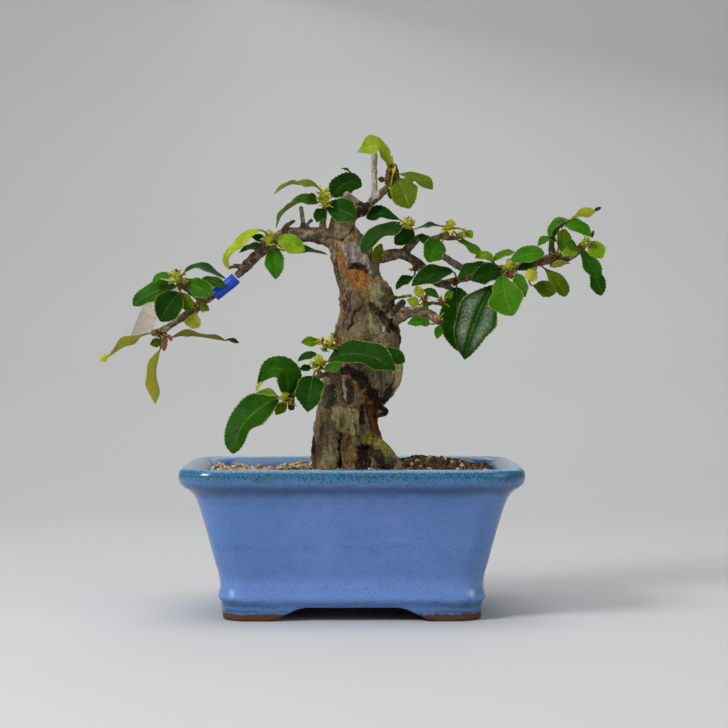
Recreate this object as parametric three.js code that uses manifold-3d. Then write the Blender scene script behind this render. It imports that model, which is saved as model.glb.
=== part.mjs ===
// Chinese quince bonsai in a blue glazed pot.
// Millimetres, +Z up, +X to the right of the tree's front, +Y towards its back.
// The origin is the middle of the plane that the pot's feet stand on.

import * as THREE from 'three';
import { mergeVertices } from 'three/addons/utils/BufferGeometryUtils.js';
import Module from 'manifold-3d';

const wasm = await Module();
wasm.setup();

// Sight lines: where a point seen from the front at a pixel lies, once its depth is known
const EYE_DISTANCE = 800;
const EYE_HEIGHT = 106.5;
const FOCAL_PIXELS = 1920;
const AXIS_PIXEL = [352, 354];

// Fits between pieces
const GAP = 0.3;
const WOOD_GAP = 0.35;

// Pot
const DEPTH_STEP = 15.5;
const RIM_HALF = 69;
const RIM_RADIUS = 17;
const SIDE_BOW = 0.7;
const CORNER_STEPS = 3;
const FLOOR_UNDERSIDE = 6.9;
const FLOOR_TOP = 11.5;
const FOOT_THICKNESS = 9;
const ARCH_HEIGHT = 6.5;
const FRONT_ARCH = { ground: 33, top: 21 };
const SIDE_ARCH = { ground: 20, top: 11.5 };
const DRAIN_X = 24;
const DRAIN_RADIUS = 5;
const SCREEN_SIDE = 15;
const SCREEN_PITCH = 5.8;
const SCREEN_EYE = 4;
const SCREEN_THICKNESS = 0.7;

// Leaves, shoots and buds
const BLADE_THICKNESS = 0.7;
const BLADE_RATIO = 0.5;
const BLADE_FOLD = 0.22;
const BLADE_ARCH = 0.07;
const BLADE_WAVE = 0.05;
const NOTCH = 0.9;
const TOOTH = 1.06;
const TOOTH_PLACE = 0.62;
const STATION_LENGTH = 9;
const STALK_HALF = 0.45;
const COLLAR_RADIUS = 1.4;

// Colours, with roughness, of the finishes
const FINISHES = {
  glaze: [0x5f80c4, 0.25],
  soil: [0x6b5c49, 0.95],
  bark: [0x8a7a63, 0.85],
  leaf: [0x3f5f33, 0.5],
  young_leaf: [0x9ab04c, 0.5],
  label: [0x2f6fd0, 0.4],
  label_paper: [0xe6e4da, 0.6],
  screen: [0x2c2f31, 0.6],
};

function seen([px, py], depth) {
  const scale = (EYE_DISTANCE + depth) / FOCAL_PIXELS;
  return new THREE.Vector3((px - AXIS_PIXEL[0]) * scale, depth, EYE_HEIGHT - (py - AXIS_PIXEL[1]) * scale);
}

function pixelSize(depth) {
  return (EYE_DISTANCE + depth) / FOCAL_PIXELS;
}

// A closed solid from points and triangles, turned so that its faces point out
function solidFrom(points, faces) {
  const signed = faces.reduce((sum, [a, b, c]) => {
    return sum + points[a].dot(new THREE.Vector3().crossVectors(points[b], points[c]));
  }, 0);
  const ordered = signed < 0 ? faces.map(([a, b, c]) => [a, c, b]) : faces;
  return new wasm.Manifold(new wasm.Mesh({
    numProp: 3,
    vertProperties: new Float32Array(points.flatMap((point) => point.toArray())),
    triVerts: new Uint32Array(ordered.flat()),
  }));
}

function solidOf(geometry) {
  geometry.deleteAttribute('normal');
  geometry.deleteAttribute('uv');
  const merged = mergeVertices(geometry, 1e-4);
  const position = merged.getAttribute('position');
  const points = [];
  for (let i = 0; i < position.count; i += 1) {
    points.push(new THREE.Vector3().fromBufferAttribute(position, i));
  }
  const index = merged.getIndex().array;
  const faces = [];
  for (let i = 0; i < index.length; i += 3) {
    faces.push([index[i], index[i + 1], index[i + 2]]);
  }
  return solidFrom(points, faces);
}

function joined(solids) {
  return solids.reduce((whole, solid) => whole.add(solid));
}

function largestBody(solid) {
  return solid.decompose().reduce((best, body) => (body.volume() > best.volume() ? body : best));
}

function meshOf(name, solid, finish) {
  const { vertProperties, triVerts } = largestBody(solid).getMesh();
  const geometry = new THREE.BufferGeometry();
  geometry.setAttribute('position', new THREE.BufferAttribute(new Float32Array(vertProperties), 3));
  geometry.setIndex(new THREE.BufferAttribute(new Uint32Array(triVerts), 1));
  geometry.computeVertexNormals();
  const [color, roughness] = FINISHES[finish];
  const mesh = new THREE.Mesh(geometry, new THREE.MeshStandardMaterial({ color, roughness, metalness: 0 }));
  mesh.name = name;
  return mesh;
}

// Rings of equal count joined into a skin, with both ends closed to a middle point
function loft(rings, startMiddle, endMiddle) {
  const count = rings[0].length;
  const points = rings.flat();
  const start = points.push(startMiddle) - 1;
  const end = points.push(endMiddle) - 1;
  const faces = [];
  const last = (rings.length - 1) * count;
  for (let k = 0; k < count; k += 1) {
    const next = (k + 1) % count;
    for (let i = 0; i + 1 < rings.length; i += 1) {
      const low = i * count;
      const high = low + count;
      faces.push([low + k, low + next, high + next], [low + k, high + next, high + k]);
    }
    faces.push([start, next, k], [end, last + k, last + next]);
  }
  return solidFrom(points, faces);
}

function middleOf(ring) {
  return ring.reduce((sum, point) => sum.add(point), new THREE.Vector3()).divideScalar(ring.length);
}

function loftFlat(rings) {
  return loft(rings, middleOf(rings[0]), middleOf(rings[rings.length - 1]));
}

// POT

const OUTER_WALL = [
  [0, 50.7], [7, 51.4], [9.5, 51.9], [11.5, 52.9], [14, 52.8], [15.5, 52.6], [32.7, 55.5], [47.5, 60],
  [52.3, 62.8], [53.2, 66], [55, 68.6], [58.5, RIM_HALF], [60.7, 68.4], [61.3, 66.2],
];
const INNER_WALL = [[61.3, 65.6], [60.2, 62], [57.5, 60], [47, 55.6], [30, 50.4], [16, 48.2], [FLOOR_TOP, 46.4]];
const WALL_LEAN = 0.38;

// The pot's plan at one height: round corners and slightly bowed sides
function potRing(half, z) {
  const halfY = half - DEPTH_STEP;
  const radius = RIM_RADIUS - (RIM_HALF - half) * WALL_LEAN;
  const ring = [];
  const turns = [[1, 1, 3], [-1, 1, 2], [-1, -1, 3], [1, -1, 2]];
  const corner = ([signX, signY], angle) => new THREE.Vector3(
    signX * (half - radius) + radius * Math.cos(angle),
    signY * (halfY - radius) + radius * Math.sin(angle),
    z,
  );
  turns.forEach((turn, quarter) => {
    for (let i = 0; i <= CORNER_STEPS; i += 1) {
      ring.push(corner(turn, (quarter + i / CORNER_STEPS) * Math.PI / 2));
    }
    const sideAngle = (quarter + 1) * Math.PI / 2;
    const from = corner(turn, sideAngle);
    const to = corner(turns[(quarter + 1) % 4], sideAngle);
    for (let i = 1; i <= turn[2]; i += 1) {
      const along = i / (turn[2] + 1);
      const bow = SIDE_BOW * (1 - (2 * along - 1) ** 2);
      const point = from.clone().lerp(to, along);
      ring.push(point.add(new THREE.Vector3(Math.cos(sideAngle) * bow, Math.sin(sideAngle) * bow, 0)));
    }
  });
  return ring;
}

// The low S-sided arch between two feet, cut straight through the pot
function footArch({ ground, top }, reach) {
  const shape = new THREE.Shape();
  const bend = (ground + top) / 2;
  shape.moveTo(-ground, -1);
  shape.lineTo(-ground, 0);
  shape.bezierCurveTo(-bend, 0.4, -bend, ARCH_HEIGHT, -top, ARCH_HEIGHT);
  shape.lineTo(top, ARCH_HEIGHT);
  shape.bezierCurveTo(bend, ARCH_HEIGHT, bend, 0.4, ground, 0);
  shape.lineTo(ground, -1);
  const geometry = new THREE.ExtrudeGeometry(shape, { depth: 2 * reach, bevelEnabled: false, curveSegments: 5 });
  geometry.translate(0, 0, -reach);
  geometry.rotateX(Math.PI / 2);
  return geometry;
}

function buildPot() {
  const shell = loftFlat(OUTER_WALL.map(([z, half]) => potRing(half, z)));
  const rimTop = potRing(INNER_WALL[0][1], INNER_WALL[0][0] + 1);
  const hollow = loftFlat([rimTop, ...INNER_WALL.map(([z, half]) => potRing(half, z))]);
  const recessHalf = OUTER_WALL[0][1] - FOOT_THICKNESS;
  const recess = loftFlat([potRing(recessHalf, -1), potRing(recessHalf, FLOOR_UNDERSIDE)]);
  const sideArch = footArch(SIDE_ARCH, RIM_HALF);
  sideArch.rotateZ(Math.PI / 2);
  let pot = shell.subtract(hollow).subtract(recess);
  pot = pot.subtract(solidOf(footArch(FRONT_ARCH, RIM_HALF))).subtract(solidOf(sideArch));
  for (const side of [-1, 1]) {
    const drain = new THREE.CylinderGeometry(DRAIN_RADIUS, DRAIN_RADIUS, FLOOR_TOP, 16);
    drain.rotateX(Math.PI / 2);
    drain.translate(side * DRAIN_X, 0, FLOOR_TOP);
    pot = pot.subtract(solidOf(drain));
  }
  return pot;
}

// A small square of plastic mesh over a drain hole
function buildScreen(side) {
  const middle = [side * DRAIN_X, 0, FLOOR_TOP + GAP + SCREEN_THICKNESS / 2];
  let screen = solidOf(new THREE.BoxGeometry(SCREEN_SIDE, SCREEN_SIDE, SCREEN_THICKNESS).translate(...middle));
  for (const column of [-0.5, 0.5]) {
    for (const row of [-0.5, 0.5]) {
      const hole = new THREE.BoxGeometry(SCREEN_EYE, SCREEN_EYE, SCREEN_THICKNESS * 2).translate(...middle);
      screen = screen.subtract(solidOf(hole.translate(column * SCREEN_PITCH, row * SCREEN_PITCH, 0)));
    }
  }
  return screen;
}

// WOOD

// Trunk outline: row, left edge, right edge and depth of the middle
const TRUNK_EDGES = [
  [530, 340, 370, 0], [502, 327, 387, 0], [482, 317, 401, 0], [466, 312, 403, 0], [452, 312, 392, 0],
  [440, 313, 380, 0], [425, 315, 378, 0], [410, 316.4, 379, 0], [400, 319.6, 388, -0.5], [390, 321.5, 396, -1],
  [380, 323, 401.5, -1], [365, 328, 403, -1], [350, 334, 399, -1], [338, 336, 401, -0.5], [325, 337, 398, 0],
  [310, 341, 392, 0], [292, 339, 392, 1], [275, 335, 380, 1], [260, 332, 379, 1], [246, 329, 370, 1],
  [232, 328, 360, 1], [221, 331, 352, 1],
];
const TRUNK_SIDES = 14;
const TRUNK_FLATNESS = 0.86;
const TRUNK_RIDGES = { count: 5, height: 0.08, twist: 0.4 };

// Lumps on the trunk: place, depth, half width, half height, half depth, all but the depths in pixels
const TRUNK_LUMPS = [
  { at: [383, 300], depth: -6, half: [11, 18, 10] },
  { at: [386, 377], depth: -7, half: [15, 13, 16] },
  { at: [380.5, 411], depth: -5, half: [8.5, 6, 10] },
  { at: [352, 251], depth: -6, half: [12, 13, 7] },
  { at: [351, 309], depth: -9, half: [11, 20, 6] },
  { at: [343, 419], depth: -11, half: [16, 16, 9] },
  { at: [352, 335], depth: 9, half: [16, 24, 14] },
];

// Limbs: each point is a column, a row, a depth and a thickness in pixels
const LIMBS = {
  root_front_left: [[334, 415, -4, 28], [329, 450, -9, 27], [322, 472, -15, 21], [314, 500, -22, 9]],
  root_front: [[350, 415, -5, 24], [352, 450, -11, 23], [355, 475, -18, 17], [358, 505, -26, 8]],
  root_right: [[362, 425, -5, 24], [380, 443, -8, 24], [396, 455, -10, 21], [411, 470, -12, 16], [432, 492, -15, 8]],
  root_back: [[352, 430, 6, 30], [347, 460, 14, 24], [340, 482, 27, 10]],
  root_back_right: [[372, 425, 4, 28], [392, 458, 11, 20], [416, 484, 20, 8]],
  root_back_left: [[336, 425, 2, 26], [320, 456, 5, 20], [298, 480, 9, 8]],
  apex: [[341, 236, 1, 28], [342, 221, 1, 22], [352, 213, 1, 17], [364, 209.5, 2, 12]],
  apex_stub: [[366, 210, 2, 10], [355, 202.5, 0, 9.5], [345.7, 194.7, -2, 9]],
  top_twig: [[362, 210, 2, 9], [367, 207, 2, 8], [374, 195, 3, 6.5], [374, 172, 4, 6], [374, 157.4, 5, 5.5]],
  top_right: [[366, 208, 2, 8], [372, 202, 2, 7], [384, 191, 3, 7], [389, 186, 4, 7], [392, 175, 4, 7],
    [395, 165.5, 4, 6]],
  left_main: [[345, 240, 0, 18], [328, 238, 0, 16], [313, 234.6, -1, 15], [300, 234.6, -2, 14.5],
    [285, 235.5, -3, 14], [271, 241.5, -4, 13], [260, 252, -5, 12], [248, 264.5, -6, 10], [238, 274.5, -7, 6.5],
    [226, 284.5, -8, 6.5], [214, 293.5, -8.5, 6.5], [200, 303.5, -9, 8], [187, 314, -9, 7], [172, 325, -9, 6.5],
    [160, 332, -8.5, 8], [153.4, 332.8, -8, 7]],
  grey_twig: [[301, 236, -2, 6], [302.8, 222, -2, 5], [300.8, 207, -2, 4.5]],
  dry_shoot: [[282, 234, -3, 5], [286, 226, -4, 4], [295, 221, -5, 3]],
  dry_shoot_right: [[309, 234, -1, 4], [308, 224, -2, 3.5], [312, 220, -3, 3]],
  hook_stub: [[245, 267, -6, 5], [236, 266, -8, 4.5], [229, 268, -9, 3.5]],
  left_spur: [[204, 301, -9, 8], [190, 290, -9, 8.5], [178, 280, -9, 8]],
  crown_shoot: [[321, 236, 0, 8], [322.7, 226, 0, 6.5], [324.4, 212, 0, 5.5], [324.4, 196, 0, 5]],
  right_upper: [[365, 262, 1, 16], [379, 258, 2, 12], [393, 254.5, 3, 11], [404, 252, 4, 9.5], [411.6, 244, 4.5, 8],
    [420, 237.5, 5, 7.5], [430, 241.5, 6, 7.5], [437, 250, 6, 7]],
  right_upper_tip: [[429, 241, 6, 7], [441, 236, 5, 6], [450, 229, 4, 6]],
  right_upper_spur: [[440, 236.5, 5, 6], [453, 238, 5, 6], [464.5, 234, 4, 6]],
  mid_spur: [[411, 246, 4.5, 6], [409.5, 236, 4, 5.5], [408.7, 225, 3, 5]],
  right_main: [[400, 253, 4, 10], [411.6, 259, 5, 9], [421.5, 266, 7, 8], [430, 278, 8, 7.5], [440, 284, 8.5, 7],
    [453, 281, 8, 7], [474, 276, 7, 8], [497, 270.5, 5, 9], [518, 266, 3.5, 9.5], [536.5, 262, 2, 10],
    [552, 259, 0, 10], [567, 258, -1.5, 9.5], [577, 251, -2.5, 8.5], [587, 242, -3, 7]],
  outer_spur: [[555, 258, -0.5, 7], [551.5, 247, -1.5, 6], [554, 234, -2.5, 4.5], [560, 225, -3.5, 4]],
  right_lower: [[376, 326, -3, 18], [388, 321.5, -6, 14.5], [400.7, 315.5, -9, 13], [413, 311.4, -12, 11.5],
    [426.4, 313, -14, 10.5], [440, 321.5, -16, 9]],
  low_shoot: [[424, 313, -14, 6], [424.8, 305, -14.5, 5], [424.8, 296.4, -15, 4.5]],
  low_twig: [[425, 305, -14.5, 4.5], [433, 303, -14, 4], [443, 304.5, -13.5, 4]],
  broken_stub: [[390, 319, -7, 8], [396, 311, -9, 7.5], [403.5, 301, -11, 6]],
  thin_stalk: [[386, 298, -3, 4], [400, 297, -6, 3], [411.5, 295.6, -8, 3]],
  front_left: [[345, 369, -8, 8], [335, 372, -13, 7], [320, 376, -15, 6], [305, 382, -18, 5.5], [293, 394, -20, 7],
    [291, 409, -21, 7]],
  front_spur: [[320, 376, -15, 6], [318.5, 369, -15.5, 5.5], [318, 362, -16, 5]],
  front_bud_spur: [[344, 350, -6, 7], [336, 348, -11, 6], [330, 346, -12, 6]],
  back_right: [[441, 283.5, 8.5, 6.5], [455, 291, 17, 5.5], [464, 302, 27, 5], [470, 311, 35, 4.5]],
  back_trunk: [[360, 334, 6, 14], [364, 322, 18, 9], [368, 316, 29, 7], [370, 318, 36, 5]],
  back_left: [[279, 237, -2, 7], [276, 240, 5, 5.5], [272, 245, 12, 4.5]],
  back_top: [[388, 187, 4, 6], [393, 186, 9, 5], [397, 186, 15, 4.5]],
  back_far_left: [[192, 309, -9, 6], [184, 304, -2, 5], [178, 298, 6, 4.5]],
};
const LIMB_ROUGHNESS = 0.07;
const THIN_SIDES = 5;
const SLENDER = 5;
const STOUT = 13;

// A limb with an uneven round section, and a domed end
function limb(route, grow) {
  const curve = new THREE.CatmullRomCurve3(route.map(([px, py, depth]) => seen([px, py], depth)));
  const share = route.length > 4 || route[0][3] < STOUT ? 1 : 2;
  const steps = (route.length - 1) * share;
  const sides = THIN_SIDES + (route[0][3] > SLENDER) + 2 * (route[0][3] > STOUT);
  const rings = [];
  let across = new THREE.Vector3(0.31, 0.87, 0.38);
  let tangent;
  let radius;
  for (let i = 0; i <= steps; i += 1) {
    const near = Math.min(Math.floor(i / share), route.length - 2);
    const blend = i / share - near;
    const depth = route[near][2] * (1 - blend) + route[near + 1][2] * blend;
    const pixels = route[near][3] * (1 - blend) + route[near + 1][3] * blend;
    const middle = curve.getPoint(i / steps);
    tangent = curve.getTangent(i / steps);
    across = across.clone().addScaledVector(tangent, -across.dot(tangent)).normalize();
    const second = new THREE.Vector3().crossVectors(tangent, across);
    const ring = [];
    for (let k = 0; k < sides; k += 1) {
      const angle = k / sides * 2 * Math.PI;
      const uneven = 1 + LIMB_ROUGHNESS * Math.sin(2.4 * i + 1.9 * k);
      radius = pixels * pixelSize(depth) / 2 * uneven + grow;
      ring.push(middle.clone().addScaledVector(across, radius * Math.cos(angle))
        .addScaledVector(second, radius * Math.sin(angle)));
    }
    rings.push(ring);
  }
  const start = curve.getPoint(0).addScaledVector(curve.getTangent(0), -grow);
  return loft(rings, start, curve.getPoint(1).addScaledVector(tangent, radius * 0.4));
}

function lump({ at, depth, half }, grow) {
  const geometry = new THREE.IcosahedronGeometry(1, 1);
  const size = half.map((pixels) => pixels * pixelSize(depth) + grow);
  geometry.scale(size[0], size[2], size[1]);
  const middle = seen(at, depth);
  geometry.translate(middle.x, middle.y, middle.z);
  return solidOf(geometry);
}

// The trunk: level rings fitted between its left and right edges, ridged along its length
function trunk(grow) {
  const rings = TRUNK_EDGES.map(([row, left, right, depth], i) => {
    const middle = seen([(left + right) / 2, row], depth);
    const half = (right - left) / 2 * pixelSize(depth);
    const ring = [];
    for (let k = 0; k < TRUNK_SIDES; k += 1) {
      const angle = k / TRUNK_SIDES * 2 * Math.PI;
      const swell = Math.sin(TRUNK_RIDGES.count * angle + TRUNK_RIDGES.twist * i);
      const ridge = 1 + TRUNK_RIDGES.height * swell * Math.sin(angle) ** 2;
      ring.push(new THREE.Vector3(
        middle.x + (half + grow) * Math.cos(angle),
        middle.y + (half * TRUNK_FLATNESS * ridge + grow) * Math.sin(angle),
        middle.z,
      ));
    }
    return ring;
  });
  return loftFlat(rings);
}

function buildWood(grow) {
  const limbs = Object.values(LIMBS).map((route) => limb(route, grow));
  return joined([trunk(grow), ...TRUNK_LUMPS.map((spec) => lump(spec, grow)), ...limbs]);
}

// SOIL

const SOIL_RINGS = [0.96, 0.82, 0.66, 0.48, 0.28];
const SOIL_EDGE = 56.6;
const SOIL_MIDDLE = 58.8;
const SOIL_GRAIN = 0.9;
const SOIL_HEAP = { x: 35, y: 8, height: 2.6, spread: 16 };

function soilHeight(x, y) {
  const inward = Math.max(0, 1 - Math.hypot(x / 60, y / 45));
  const heap = SOIL_HEAP.height * Math.exp(-((x - SOIL_HEAP.x) ** 2 + (y - SOIL_HEAP.y) ** 2) / SOIL_HEAP.spread ** 2);
  const grain = SOIL_GRAIN * Math.sin(x * 1.7 + 3 * Math.sin(y * 0.9)) * Math.cos(y * 1.3 + 2 * Math.sin(x * 0.7));
  return SOIL_EDGE + (SOIL_MIDDLE - SOIL_EDGE) * Math.min(1, inward * 2) + heap + grain;
}

function buildSoil(woodHole) {
  const bottom = FLOOR_TOP + SCREEN_THICKNESS + 2 * GAP;
  const wallHalf = (z) => {
    const above = INNER_WALL.findIndex(([height]) => height <= z);
    const [topZ, topHalf] = INNER_WALL[above - 1];
    const [lowZ, lowHalf] = INNER_WALL[above];
    return lowHalf + (topHalf - lowHalf) * (z - lowZ) / (topZ - lowZ) - GAP - 0.1;
  };
  const levels = [bottom, 16, 32, 47, SOIL_EDGE - 1];
  const rings = levels.map((z) => potRing(wallHalf(z), z));
  const edge = rings[rings.length - 1];
  for (const share of SOIL_RINGS) {
    rings.push(edge.map((point, k) => {
      const stagger = share * (1 + 0.03 * Math.sin(k * 2.6 + share * 40));
      const x = point.x * stagger;
      const y = point.y * stagger;
      return new THREE.Vector3(x, y, soilHeight(x, y));
    }));
  }
  const top = new THREE.Vector3(0, 0, soilHeight(0, 0));
  return loft(rings, new THREE.Vector3(0, 0, bottom), top).subtract(woodHole);
}

// LEAVES

// Half width of a blade along its length: oval, widest just below the middle
function bladeHalf(along) {
  return Math.sin(Math.PI * along ** 0.85) ** 0.8;
}

// One leaf: where its blade starts and ends, its width as seen, and the depths of both ends.
// A blade seen narrower than it is wide is turned about its rib by as much.
function leaf(from, to, wide, depth, { via, side = 1 } = {}) {
  return { from, to, wide, depth, via, side };
}

function ribOf({ from, to, depth, via }) {
  const start = seen(from, depth[0]);
  const end = seen(to, depth[1]);
  const middle = start.clone().lerp(end, 0.5);
  if (via) {
    middle.copy(seen(via, (depth[0] + depth[1]) / 2));
  } else {
    middle.z += BLADE_ARCH * start.distanceTo(end);
  }
  const control = middle.multiplyScalar(2).addScaledVector(start, -0.5).addScaledVector(end, -0.5);
  return new THREE.QuadraticBezierCurve3(start, control, end);
}

// A blade with toothed edges, folded along its rib, and the flat stalk that carries it
function blade(root, spec) {
  const rib = ribOf(spec);
  const length = rib.getLength();
  const shown = spec.wide * pixelSize(spec.depth[0]);
  const full = Math.max(shown, BLADE_RATIO * length);
  const roll = Math.acos(Math.min(1, shown / full));
  const stations = Math.max(2, Math.min(5, Math.round(length / STATION_LENGTH) + 1));
  const chord = rib.v2.clone().sub(rib.v0).normalize();
  const level = new THREE.Vector3().crossVectors(chord, new THREE.Vector3(0, 1, 0)).normalize();
  const away = new THREE.Vector3().crossVectors(level, chord);
  const faceAt = (turn) => {
    const width = level.clone().multiplyScalar(Math.cos(turn)).addScaledVector(away, Math.sin(turn));
    const face = new THREE.Vector3().crossVectors(width, chord);
    return face.y > 0 ? face.negate() : face;
  };
  const turn = faceAt(roll).z * spec.side > faceAt(-roll).z * spec.side ? roll : -roll;
  const upper = faceAt(turn).multiplyScalar(spec.side);
  const points = [];
  const add = (middle, normal) => {
    points.push(middle.clone().addScaledVector(normal, BLADE_THICKNESS / 2));
    points.push(middle.clone().addScaledVector(normal, -BLADE_THICKNESS / 2));
    return points.length - 2;
  };
  const place = (along, side, tooth) => {
    const tangent = rib.getTangent(along);
    const width = new THREE.Vector3().crossVectors(tangent, upper).normalize();
    const normal = new THREE.Vector3().crossVectors(width, tangent);
    const half = full / 2 * bladeHalf(along) * tooth;
    const wave = BLADE_WAVE * full * Math.sin(along * 9 + side * 1.3) * Math.abs(side);
    const middle = rib.getPoint(along).addScaledVector(width, side * half);
    return add(middle.addScaledVector(normal, BLADE_FOLD * half + wave), normal);
  };
  const stalkRun = rib.v0.clone().sub(root).normalize();
  const stalkTurn = rib.getTangent(0).add(stalkRun).normalize();
  const stalkPoint = (middle, direction, side) => {
    const width = new THREE.Vector3().crossVectors(direction, upper).normalize();
    const normal = new THREE.Vector3().crossVectors(width, direction);
    return add(middle.clone().addScaledVector(width, side * STALK_HALF), normal);
  };
  const mids = [];
  const edges = { '-1': [], 1: [] };
  const teeth = { '-1': [], 1: [] };
  for (let i = 0; i <= stations; i += 1) {
    mids.push(place(i / stations, 0, 0));
    for (const side of [-1, 1]) {
      const inner = i > 0 && i < stations;
      const start = i === 0 ? stalkPoint(rib.v0, stalkTurn, side) : mids[i];
      edges[side].push(inner ? place(i / stations, side, NOTCH) : start);
      if (i < stations) {
        teeth[side].push(place((i + TOOTH_PLACE) / stations, side, TOOTH));
      }
    }
  }
  const faces = [];
  const face = (a, b, c) => {
    if (a !== b && b !== c && a !== c) {
      faces.push([a, b, c], [a + 1, c + 1, b + 1]);
    }
  };
  const margin = (a, b) => faces.push([a, a + 1, b + 1], [a, b + 1, b]);
  const stalkMid = stalkPoint(root, stalkRun, 0);
  for (const side of [-1, 1]) {
    const turned = (a, b, c) => (side > 0 ? face(a, b, c) : face(a, c, b));
    const rim = (a, b) => (side > 0 ? margin(a, b) : margin(b, a));
    const stalkEdge = stalkPoint(root, stalkRun, side);
    turned(stalkMid, stalkEdge, edges[side][0]);
    turned(stalkMid, edges[side][0], mids[0]);
    rim(stalkMid, stalkEdge);
    rim(stalkEdge, edges[side][0]);
    for (let i = 0; i < stations; i += 1) {
      turned(mids[i], edges[side][i], teeth[side][i]);
      turned(mids[i], teeth[side][i], mids[i + 1]);
      turned(mids[i + 1], teeth[side][i], edges[side][i + 1]);
      rim(edges[side][i], teeth[side][i]);
      rim(teeth[side][i], edges[side][i + 1]);
    }
  }
  return solidFrom(points, faces);
}

// A bud: a tight rosette of bracts, rows of points set between those of the row below
const BUD_COLUMNS = 8;
const BUD_ROWS = [[-0.9, 0.45], [-0.45, 0.9], [0.05, 1], [0.5, 0.82], [0.85, 0.45]];
const BRACT_REACH = 1.08;
const BRACT_DIP = 0.78;

function rosette(middle, halfWide, halfTall) {
  const rings = BUD_ROWS.map(([height, share], row) => {
    const ring = [];
    for (let k = 0; k < BUD_COLUMNS; k += 1) {
      const bract = (k + row) % 2;
      const angle = k / BUD_COLUMNS * 2 * Math.PI;
      const reach = halfWide * share * (bract ? BRACT_REACH : BRACT_DIP);
      ring.push(new THREE.Vector3(
        middle.x + reach * Math.cos(angle),
        middle.y + reach * Math.sin(angle),
        middle.z + halfTall * (height + 0.16 * bract),
      ));
    }
    return ring;
  });
  const pole = (share) => middle.clone().add(new THREE.Vector3(0, 0, halfTall * share));
  return loft(rings, pole(-1), pole(1.15));
}

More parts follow.
